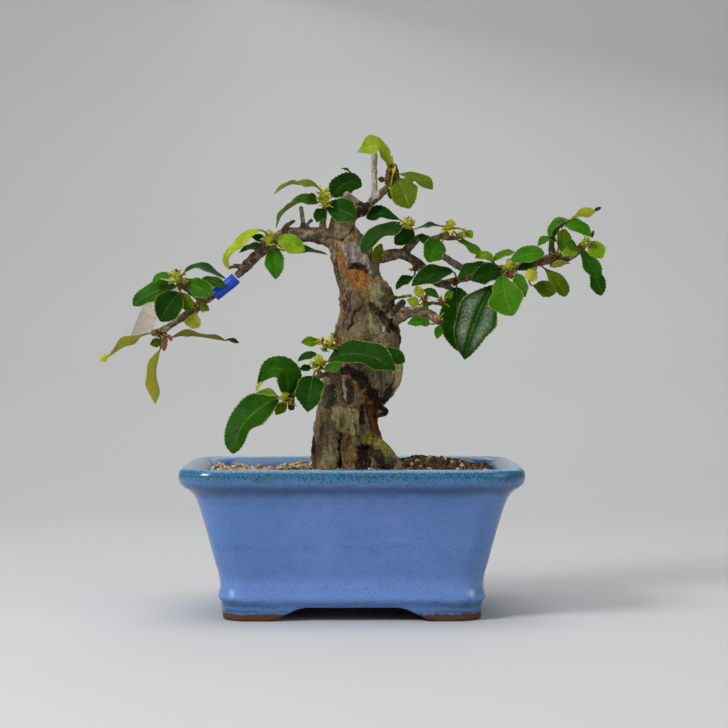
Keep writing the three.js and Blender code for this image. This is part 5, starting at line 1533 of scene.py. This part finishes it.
        leaf((384, 350), (404, 361.5), 13, (33, 28), DARK),
    )),
    spray("back_left", (271.5, 245.5, 14.4), mature=(
        leaf((273, 251), (277, 272), 15, (16, 22), DEEP),
        leaf((268, 244), (256, 247), 10, (16, 24), GREEN),
        leaf((277, 244), (294, 247), 11, (15, 20), DEEP),
    )),
    spray("back_top", (398.5, 187, 17.2), mature=(
        leaf((400, 191), (405, 206), 16, (18, 25), GREEN),
        leaf((396, 190), (389, 199), 10, (18, 26), DEEP),
        leaf((402, 184), (415, 179), 8, (18, 22), OLIVE),
    )),
    spray("back_far_left", (177, 297, 8.4), mature=(
        leaf((173, 301), (163, 316), 15, (9, 17), DEEP),
        leaf((172, 295), (148, 298), 10, (9, 20), GREEN),
        leaf((180, 292), (186, 277), 10, (9, 15), DEEP),
    )),
)

BOW_STEPS = 20


class Rib:
    """The middle line of a blade: a bow through three places, or a smooth line through more."""

    def __init__(self, *places):
        if len(places) == 3:
            start, middle, end = places
            pull = middle * 2.0 - (start + end) * 0.5
            shares = [i / BOW_STEPS for i in range(BOW_STEPS + 1)]
            self.spots = [start * (1 - t) ** 2 + pull * (2 * t * (1 - t)) + end * t * t for t in shares]
        else:
            self.spots = [Vector(row) for row in smooth_route([tuple(place) for place in places], 8)]
        self.start = places[0]
        self.end = places[-1]
        self.reached = [0.0]
        for before, after in zip(self.spots, self.spots[1:]):
            self.reached.append(self.reached[-1] + (after - before).length)

    def length(self):
        return self.reached[-1]

    def place(self, t):
        goal = t * self.reached[-1]
        i = 1
        while i < len(self.spots) - 1 and self.reached[i] < goal:
            i += 1
        share = (goal - self.reached[i - 1]) / (self.reached[i] - self.reached[i - 1])
        return self.spots[i - 1].lerp(self.spots[i], share)

    def run(self, t):
        return (self.place(min(1.0, t + 0.05)) - self.place(max(0.0, t - 0.05))).normalized()


def rib_of(spec):
    points = [spec["start"], *spec["via"], spec["end"]]
    first, last = spec["depth"]
    places = [seen(*point, blend(first, last, i / (len(points) - 1))) for i, point in enumerate(points)]
    if len(places) == 2:
        middle = (places[0] + places[1]) / 2 + UP * BLADE_ARCH * (places[1] - places[0]).length
        places.insert(1, middle)
    return Rib(*places)


def upper_face(spec, rib, full):
    """The direction that a leaf's upper side faces: turned about its rib until its width is as seen."""
    shown = spec["wide"] * pixel_size(spec["depth"][0])
    roll = math.acos(min(1.0, shown / full))
    chord = (rib.end - rib.start).normalized()
    level = chord.cross(Vector((0.0, 1.0, 0.0))).normalized()
    away = level.cross(chord)
    faces = []
    for turn in (roll, -roll):
        face = (level * math.cos(turn) + away * math.sin(turn)).cross(chord)
        faces.append(-face if face.y > 0 else face)
    best = max(faces, key=lambda face: face.z * spec["side"])
    return best * spec["side"]


def blade_half(t, belly, blunt):
    """Half width of a blade along its length: widest at the belly, with a blunt or a drawn-out tip."""
    if not 0.0 < t < 1.0:
        return 0.0
    bow = math.sin(math.pi * t ** (math.log(0.5) / math.log(belly)))
    return bow ** blend(0.85, 0.55, blunt) * (1.0 - 0.3 * (1.0 - blunt) * ease(t, 0.6, 1.0))


def add_blade(skin, rib, upper, full, teeth, tone, thick, rng, fold=BLADE_FOLD, across=ACROSS_STEPS,
              slot=MATURE, belly=0.47, twist=0.0, blunt=0.0, sheen=0.0):
    """One toothed blade, folded along its rib, with a groove above and a ridge below."""
    length = rib.length()
    phase = rng.uniform(0.0, math.tau)
    ripple = rng.uniform(0.05, 0.10) * full
    curl = rng.uniform(0.01, 0.07) * length
    sway = rng.uniform(-0.03, 0.03) * length
    top, bottom = [], []
    stations = [0.0]
    for i in range(teeth):
        stations += [(i + TOOTH_NOTCH) / teeth, (i + TOOTH_POINT) / teeth]
    stations.append(1.0)
    for n, t in enumerate(stations):
        run = rib.run(t)
        turned = Quaternion(run, twist * (t - 0.4)) @ upper
        width = run.cross(turned).normalized()
        normal = width.cross(run)
        half = max(0.06, full / 2 * blade_half(t, belly, blunt))
        pointed = n % 2 == 0 and 0 < n < len(stations) - 1
        tooth = (TOOTH_OUT if pointed else TOOTH_IN) * min(1.0, half / TOOTHED_HALF)
        over, under = [], []
        for c in range(-across, across + 1):
            s = c / across
            hand = math.copysign(2.0, s)
            uneven = 1.0 + EDGE_UNEVEN * noise.noise(Vector((t * 3.6, phase, hand)))
            reach = s * (half * uneven + (tooth if abs(c) == across else 0.0))
            wave = math.sin(RIPPLE_RATE * t + phase + hand) * s * s * math.sin(math.pi * t)
            rise = fold * half * abs(s) ** 1.25 + ripple * wave
            quilt = 0.5 + 0.5 * math.cos(math.tau * VEIN_COUNT * (t - VEIN_SLOPE * abs(s)))
            rise += QUILT_RISE * quilt * math.sin(math.pi * abs(s)) * min(1.0, half / 4.0)
            rise -= curl * t ** 3
            bend = sway * math.sin(math.pi * t)
            middle = rib.place(t) + width * (reach + bend) + normal * rise
            edge = 1.0 - EDGE_THINNING * abs(s)
            groove = RIB_GROOVE * (1.0 - t) if c == 0 else 0.0
            spread = (0.5 + s / 2, t)
            # Painted highlight: the share of pale sheen at each point of the upper face, most in the middle
            # of each half
            painted_shine = sheen * math.sin(math.pi * min(1.0, abs(s) * 1.1)) * (1.0 if s > 0.0 else 0.6)
            painted_shine *= ease(t, 0.1, 0.35) * (1.0 - ease(t, 0.7, 0.95))
            above = middle + normal * (thick / 2 * edge - groove * 0.6)
            over.append(skin.point(above, spread, tone=tone, sheen=painted_shine))
            below = middle - normal * (thick / 2 * edge + groove)
            under.append(skin.point(below, spread, tone=tone, under=1.0))
        top.append(over)
        bottom.append(under)
    for i in range(len(stations) - 1):
        for c in range(2 * across):
            skin.face(top[i][c], top[i][c + 1], top[i + 1][c + 1], top[i + 1][c], slot=slot)
            skin.face(bottom[i][c + 1], bottom[i][c], bottom[i + 1][c], bottom[i + 1][c + 1], slot=slot)
        skin.face(bottom[i][0], top[i][0], top[i + 1][0], bottom[i + 1][0], slot=slot)
        skin.face(top[i][-1], bottom[i][-1], bottom[i + 1][-1], top[i + 1][-1], slot=slot)
    skin.strip(bottom[0], top[0], False, slot)
    skin.strip(top[-1], bottom[-1], False, slot)


def add_stalk(skin, start, end, run, tone, slot, sides=8, steps=6):
    """A leaf stalk from the spur to the foot of a blade, met in the blade's own direction."""
    pull = end - run * (end - start).length * 0.5
    rib = Rib(start, (start + end) * 0.25 + pull * 0.5, end)
    across = Vector((0.3, 0.9, 0.3))
    rings = []
    for i in range(steps + 1):
        t = i / steps
        across, second = square_to(rib.run(t), across)
        reach = STALK_RADIUS * (1.35 - 0.5 * t)
        places = [rib.place(t) + on_circle(across, second, angle) * reach for angle in turns(sides)]
        rings.append([skin.point(place, tone=tone, stalk=1.0) for place in places])
    skin.shell(rings, rib.place(0.0), rib.place(1.0), slot, tone=tone, stalk=1.0)


def add_leaf(skin, root, spec, settings, rng, young=False):
    rib = rib_of(spec)
    length = rib.length()
    full = max(spec["wide"] * pixel_size(spec["depth"][0]), BLADE_RATIO * length)
    upper = upper_face(spec, rib, full)
    teeth = max(TEETH_LEAST, min(TEETH_MOST, round(length / settings.tooth)))
    tone = spec["tone"] + rng.uniform(-0.05, 0.05)
    slot = YOUNG if young or spec["tone"] > 0.65 else MATURE
    if spec["tone"] == BRACT:
        slot = SCALY
    form = {"twist": rng.uniform(-0.5, 0.5), "belly": rng.uniform(0.44, 0.56), "blunt": rng.uniform(0.3, 0.9)}
    form.update(spec["form"])
    add_blade(skin, rib, upper, full, teeth, tone, settings.thickness, rng, slot=slot, **form)
    if spec["stalked"]:
        add_stalk(skin, root, rib.place(0.07), rib.run(0.0), tone, slot)


def add_rosette(skin, middle, half_wide, half_tall, rng, count=28):
    """A bud: small folded leaves set round an upright axis at the golden angle, the outer ones spreading."""
    golden = math.pi * (3.0 - math.sqrt(5.0))
    base = middle - UP * half_tall * 0.75
    for k in range(count):
        inner = k / (count - 1)
        angle = k * golden + rng.uniform(-0.4, 0.4)
        out = Vector((math.cos(angle), math.sin(angle), 0.0))
        climb = math.radians(blend(0.0, 70.0, inner) + rng.uniform(-22.0, 22.0))
        aim = out * math.cos(climb) + UP * math.sin(climb)
        reach = blend(half_wide * 1.1, half_tall * 0.9, inner) * rng.uniform(0.75, 1.3)
        start = base + UP * half_tall * 0.85 * inner + out * 0.3
        end = start + aim * reach
        rib = Rib(start, (start + end) / 2 + (UP * 0.25 + out * 0.1) * reach * rng.uniform(0.3, 1.0), end)
        upper = (UP * 0.6 - out * 0.8 * math.sin(climb)).normalized()
        tone = rng.choice((BRIGHT, LIME, 1.0, 1.0)) + rng.uniform(-0.04, 0.04)
        slot = SCALY if k % 11 == 5 else YOUNG
        add_blade(skin, rib, upper, reach * rng.uniform(0.45, 0.72), 4, tone, SMALL_THICKNESS, rng, fold=0.35,
                  across=2, slot=slot, twist=rng.uniform(-1.2, 1.2), belly=0.55, blunt=0.35)


def add_collar(skin, root, rng, rows=8, sides=12, scales=5, stipules=4):
    """The knobbly end of a spur, with old bud scales and thin stipules standing off it."""
    radius = COLLAR_RADIUS
    rings = []
    for i in range(1, rows):
        tilt = math.pi * i / rows
        ring = []
        for k, angle in enumerate(turns(sides)):
            reach = radius * (0.85 + 0.2 * math.sin(3.1 * k + 2.2 * i)) * math.sin(tilt)
            spot = Vector((reach * math.cos(angle), reach * math.sin(angle), -radius * math.cos(tilt)))
            ring.append(skin.point(root + spot, tone=0.5))
        rings.append(ring)
    skin.shell(rings, root - UP * radius, root + UP * radius, SCALY)
    for k in range(scales + stipules):
        scaly = k < scales
        aim = Vector((rng.uniform(-1.0, 1.0), rng.uniform(-0.9, 0.2), rng.uniform(-0.7, 1.0))).normalized()
        start = root + aim * radius * 0.5
        reach = rng.uniform(1.5, 2.3) if scaly else rng.uniform(2.0, 3.4)
        end = start + aim * reach
        rib = Rib(start, (start + end) / 2 + UP * rng.uniform(-0.3, 0.5), end)
        full = reach * (0.62 if scaly else 0.22)
        add_blade(skin, rib, (UP - aim * aim.z).normalized(), full, 3, LIME - 0.05, SMALL_THICKNESS, rng,
                  fold=0.4, across=2, slot=SCALY if scaly else YOUNG, twist=rng.uniform(-1.0, 1.0))


# Sprays of young leaves alone
YOUNG_NODES = ("low_shoot", "trunk_bud", "trunk_shoot")


def build_sprays(settings):
    finishes = [
        leaf_finish("mature_blade", (0.12, 0.20, 0.02)), leaf_finish("young_blade", (0.38, 0.50, 0.06)),
        scale_finish(),
    ]
    for number, growth in enumerate(SPRAYS):
        name = growth["name"]
        rng = random.Random(settings.seed * 100 + number)
        depth = growth["collar"][2]
        scale = pixel_size(depth)
        root = seen(*growth["collar"])
        skin = Skin()
        add_collar(skin, root, rng)
        for spec in growth["mature"]:
            add_leaf(skin, root, spec, settings, rng)
        for at, half in growth["tufts"]:
            reach = half * scale
            add_rosette(skin, seen(*at, depth - 1.0 - reach), reach, reach, rng, count=14)
        piece = skin.make("spray_" + name, finishes, sharp=55)
        finished(piece, "young_leaf" if name in YOUNG_NODES else "leaf", "leaves_" + name)
        if growth["bud"]:
            at, half = growth["bud"]
            halves = [pixels * scale for pixels in half]
            middle = seen(*at, depth - BUD_AHEAD - halves[0] * 1.08)
            bud = Skin()
            add_rosette(bud, middle, *halves, rng)
            for spec in growth["young"]:
                add_leaf(bud, middle - UP * halves[1] * 0.4, spec, settings, rng, young=True)
            piece = bud.make("rosette_" + name, finishes, sharp=55)
            finished(piece, "young_leaf", "bud_" + name)


# Label

# Routes of the band and the loose end: columns, rows and depths
BAND_ROUTE = ((236.6, 278, -7.1), (226, 287, -8), (214.5, 295.6, -8.45))
BAND_INNER = 1.95
BAND_WALL = 0.5
BAND_SIDES = 40
BAND_LAP_FROM = 27
BAND_LAP = 0.18
BAND_CREASE = 0.06
TAIL_ROUTE = ((215, 291, -5.3), (202, 284.5, -4), (184, 288.5, -2.4), (165, 299, -1.4), (152, 308.5, -1),
              (146, 321, -0.5), (140.5, 335, 0.3))
TAIL_WIDE = 7.4
TAIL_SLANT = 6.0
TAIL_THICK = 0.45
TAIL_BOW = 0.35


def build_band():
    """A sleeve of blue tape with a lap along it and a white ring at one end."""
    blue = plain_finish("blue_tape", (0.003, 0.060, 0.50), (0.008, 0.085, 0.58), 0.35, 2.0)
    white = plain_finish("sleeve_end", (0.72, 0.72, 0.70), (0.80, 0.80, 0.78), 0.5, 4.0)
    band = Skin()
    rows = seen_route(BAND_ROUTE)
    across = Vector((0.0, 1.0, 0.0))
    inner, outer = [], []
    for i, row in enumerate(rows):
        across, second = square_to(way_at(rows, i), across)
        for radius, lap, rings in ((BAND_INNER, 0.0, inner), (BAND_INNER + BAND_WALL, BAND_LAP, outer)):
            ring = []
            for k, angle in enumerate(turns(BAND_SIDES)):
                crease = BAND_CREASE * math.sin(angle * 3 + i * 0.7)
                reach = radius + (lap if k >= BAND_LAP_FROM else 0.0) + crease
                ring.append(band.point(Vector(row) + on_circle(across, second, angle) * reach))
            rings.append(ring)
    band.strip(outer[0], outer[1], slot=1)
    band.loft(outer[1:])
    band.loft(inner[::-1])
    band.strip(inner[0], outer[0])
    band.strip(outer[-1], inner[-1])
    finished(band.make("label_sleeve", [blue, white], sharp=40), "label", "label_band")


def build_tail():
    """The label's loose end: a strip that widens from the band and is cut aslant."""
    paper = plain_finish("label_strip", (0.44, 0.39, 0.32), (0.56, 0.51, 0.44), 0.55, 4.0)
    tail = Skin()
    rows = seen_route(TAIL_ROUTE)
    sections = []
    for i, row in enumerate(rows):
        way = way_at(rows, i)
        width = way.cross(Vector((0.15, 1.0, 0.0))).normalized()
        wide = TAIL_WIDE * (0.66 + 0.34 * ease(i / len(rows), 0.45, 0.7))
        slant = TAIL_SLANT * ease(i / len(rows), 0.7, 1.0)
        normal = width.cross(way)
        section = []
        for face in (1, -1):
            for c in range(5):
                s = (c / 4 - 0.5) * face
                lift = face * TAIL_THICK / 2 + TAIL_BOW * (1.0 - 4.0 * s * s)
                section.append(tail.point(Vector(row) + (width * wide - way * slant) * s + normal * lift))
        sections.append(section)
    tail.bar(sections)
    finished(tail.make("label_tail_strip", [paper], sharp=40), "label_paper", "label_tail")


# Stage

SWEEP_RADIUS = 700.0
SWEEP_START = 500.0
FLOOR_FRONT = -1500.0
FLOOR_HALF = 3500.0
BACKDROP_HEIGHT = 3000.0
LIGHT_AIM = Vector((0.0, 0.0, 0.09))
ROOM_COLOR = (1.0, 0.985, 0.955, 1.0)
ROOM_SHARE = 0.34

# Soft lights: name, place in metres, size and power
LIGHTS = (
    ("key_left", (-0.80, -0.70, 0.80), 0.4, 18.0), ("key_right", (0.85, -0.75, 0.50), 0.7, 3.6),
    ("top", (-0.05, -0.05, 1.15), 0.9, 9.0), ("back", (0.2, 0.8, 0.8), 0.8, 3.0),
)


def build_floor(grey):
    """A floor that sweeps up into a backdrop."""
    finish = Finish("pale_floor", Roughness=0.9)
    shaded = tuple(value * 0.97 for value in grey)
    finish.color(finish.mix(finish.noise(120.0, 2.0) * 0.3, grey, shaded))
    skin = Skin()
    profile = [(FLOOR_FRONT, 0.0), (SWEEP_START, 0.0)]
    for a in (0.2, 0.5, 0.8, 1.1, 1.4):
        profile.append((SWEEP_START + SWEEP_RADIUS * math.sin(a), SWEEP_RADIUS - SWEEP_RADIUS * math.cos(a)))
    profile.append((SWEEP_START + SWEEP_RADIUS, BACKDROP_HEIGHT))
    skin.loft([[skin.point(Vector((x, y, z))) for x in (-FLOOR_HALF, FLOOR_HALF)] for y, z in profile],
              closed=False)
    skin.make("floor_sweep", [finish.material])


def placed(thing, name, place, way):
    """An object for a light or a camera that looks along a way."""
    piece = bpy.data.objects.new(name, thing)
    piece.location = place
    piece.rotation_euler = way.to_track_quat("-Z", "Y").to_euler()
    bpy.context.collection.objects.link(piece)
    return piece


def build_stage(settings):
    build_floor(tuple(settings.floor))
    for name, place, size, power in LIGHTS:
        lamp = bpy.data.lights.new(name, "AREA")
        lamp.shape = "SQUARE"
        lamp.size = size
        lamp.energy = power * settings.light
        placed(lamp, name, place, LIGHT_AIM - Vector(place))
    world = bpy.data.worlds.new("soft_room")
    world.use_nodes = True
    room = world.node_tree.nodes["Background"].inputs
    room["Color"].default_value = ROOM_COLOR
    room["Strength"].default_value = ROOM_SHARE * settings.light
    scene = bpy.context.scene
    scene.world = world
    scene.view_settings.view_transform = "Standard"
    lens = bpy.data.cameras.new("camera")
    lens.sensor_width = SENSOR_MM
    lens.lens = FOCAL_PIXELS / PICTURE_PIXELS * SENSOR_MM
    eye = Vector((0.0, -EYE_DISTANCE, EYE_HEIGHT))
    aim = seen(PICTURE_PIXELS / 2, PICTURE_PIXELS / 2, 0.0)
    scene.camera = placed(lens, "camera", eye * MM, aim - eye)


# Operators and panel


class BONSAI_OT_pot(bpy.types.Operator):
    """Build the glazed pot and finish its drain screens"""
    bl_idname = "bonsai.pot"
    bl_label = "Pot"

    def execute(self, context):
        build_pot(context.scene.bonsai_pot)
        build_screens()
        return {"FINISHED"}


class BONSAI_OT_soil(bpy.types.Operator):
    """Fill the pot with its bed of soil and loose grains"""
    bl_idname = "bonsai.soil"
    bl_label = "Soil"

    def execute(self, context):
        build_soil(context.scene.bonsai_soil)
        return {"FINISHED"}


class BONSAI_OT_wood(bpy.types.Operator):
    """Grow the trunk, roots and branches with their bark"""
    bl_idname = "bonsai.wood"
    bl_label = "Wood"

    def execute(self, context):
        build_wood(context.scene.bonsai_bark)
        return {"FINISHED"}


class BONSAI_OT_sprays(bpy.types.Operator):
    """Grow the leaves and buds of every spray"""
    bl_idname = "bonsai.sprays"
    bl_label = "Leaves and buds"

    def execute(self, context):
        build_sprays(context.scene.bonsai_foliage)
        return {"FINISHED"}


class BONSAI_OT_label(bpy.types.Operator):
    """Wrap the plant label round its branch"""
    bl_idname = "bonsai.label"
    bl_label = "Label"

    def execute(self, context):
        build_band()
        build_tail()
        return {"FINISHED"}


class BONSAI_OT_stage(bpy.types.Operator):
    """Set the floor, the lights and the camera"""
    bl_idname = "bonsai.stage"
    bl_label = "Stage"

    def execute(self, context):
        build_stage(context.scene.bonsai_stage)
        return {"FINISHED"}


OPERATORS = (
    BONSAI_OT_stage, BONSAI_OT_pot, BONSAI_OT_soil, BONSAI_OT_wood, BONSAI_OT_sprays, BONSAI_OT_label,
)


class BONSAI_PT_panel(bpy.types.Panel):
    """Lists the settings and the steps that build the bonsai"""
    bl_label = "Bonsai"
    bl_idname = "BONSAI_PT_panel"
    bl_space_type = "VIEW_3D"
    bl_region_type = "UI"
    bl_category = "Bonsai"

    def draw(self, context):
        for name in SETTINGS:
            group = getattr(context.scene, name)
            for field in group.bl_rna.properties:
                if field.identifier not in {"rna_type", "name"}:
                    self.layout.prop(group, field.identifier)
        for operator in OPERATORS:
            self.layout.operator(operator.bl_idname)


SETTINGS = {
    "bonsai_pot": PotSettings,
    "bonsai_bark": BarkSettings,
    "bonsai_foliage": FoliageSettings,
    "bonsai_soil": SoilSettings,
    "bonsai_stage": StageSettings,
}
CLASSES = (*SETTINGS.values(), *OPERATORS, BONSAI_PT_panel)


def register():
    for item in CLASSES:
        bpy.utils.register_class(item)
    for name, group in SETTINGS.items():
        setattr(bpy.types.Scene, name, bpy.props.PointerProperty(type=group))


def unregister():
    for name in SETTINGS:
        delattr(bpy.types.Scene, name)
    for item in reversed(CLASSES):
        bpy.utils.unregister_class(item)


def main():
    register()
    bpy.ops.bonsai.stage()
    bpy.ops.bonsai.pot()
    bpy.ops.bonsai.soil()
    bpy.ops.bonsai.wood()
    bpy.ops.bonsai.sprays()
    bpy.ops.bonsai.label()
    bpy.context.view_layer.update()


if __name__ == "__main__":
    main()
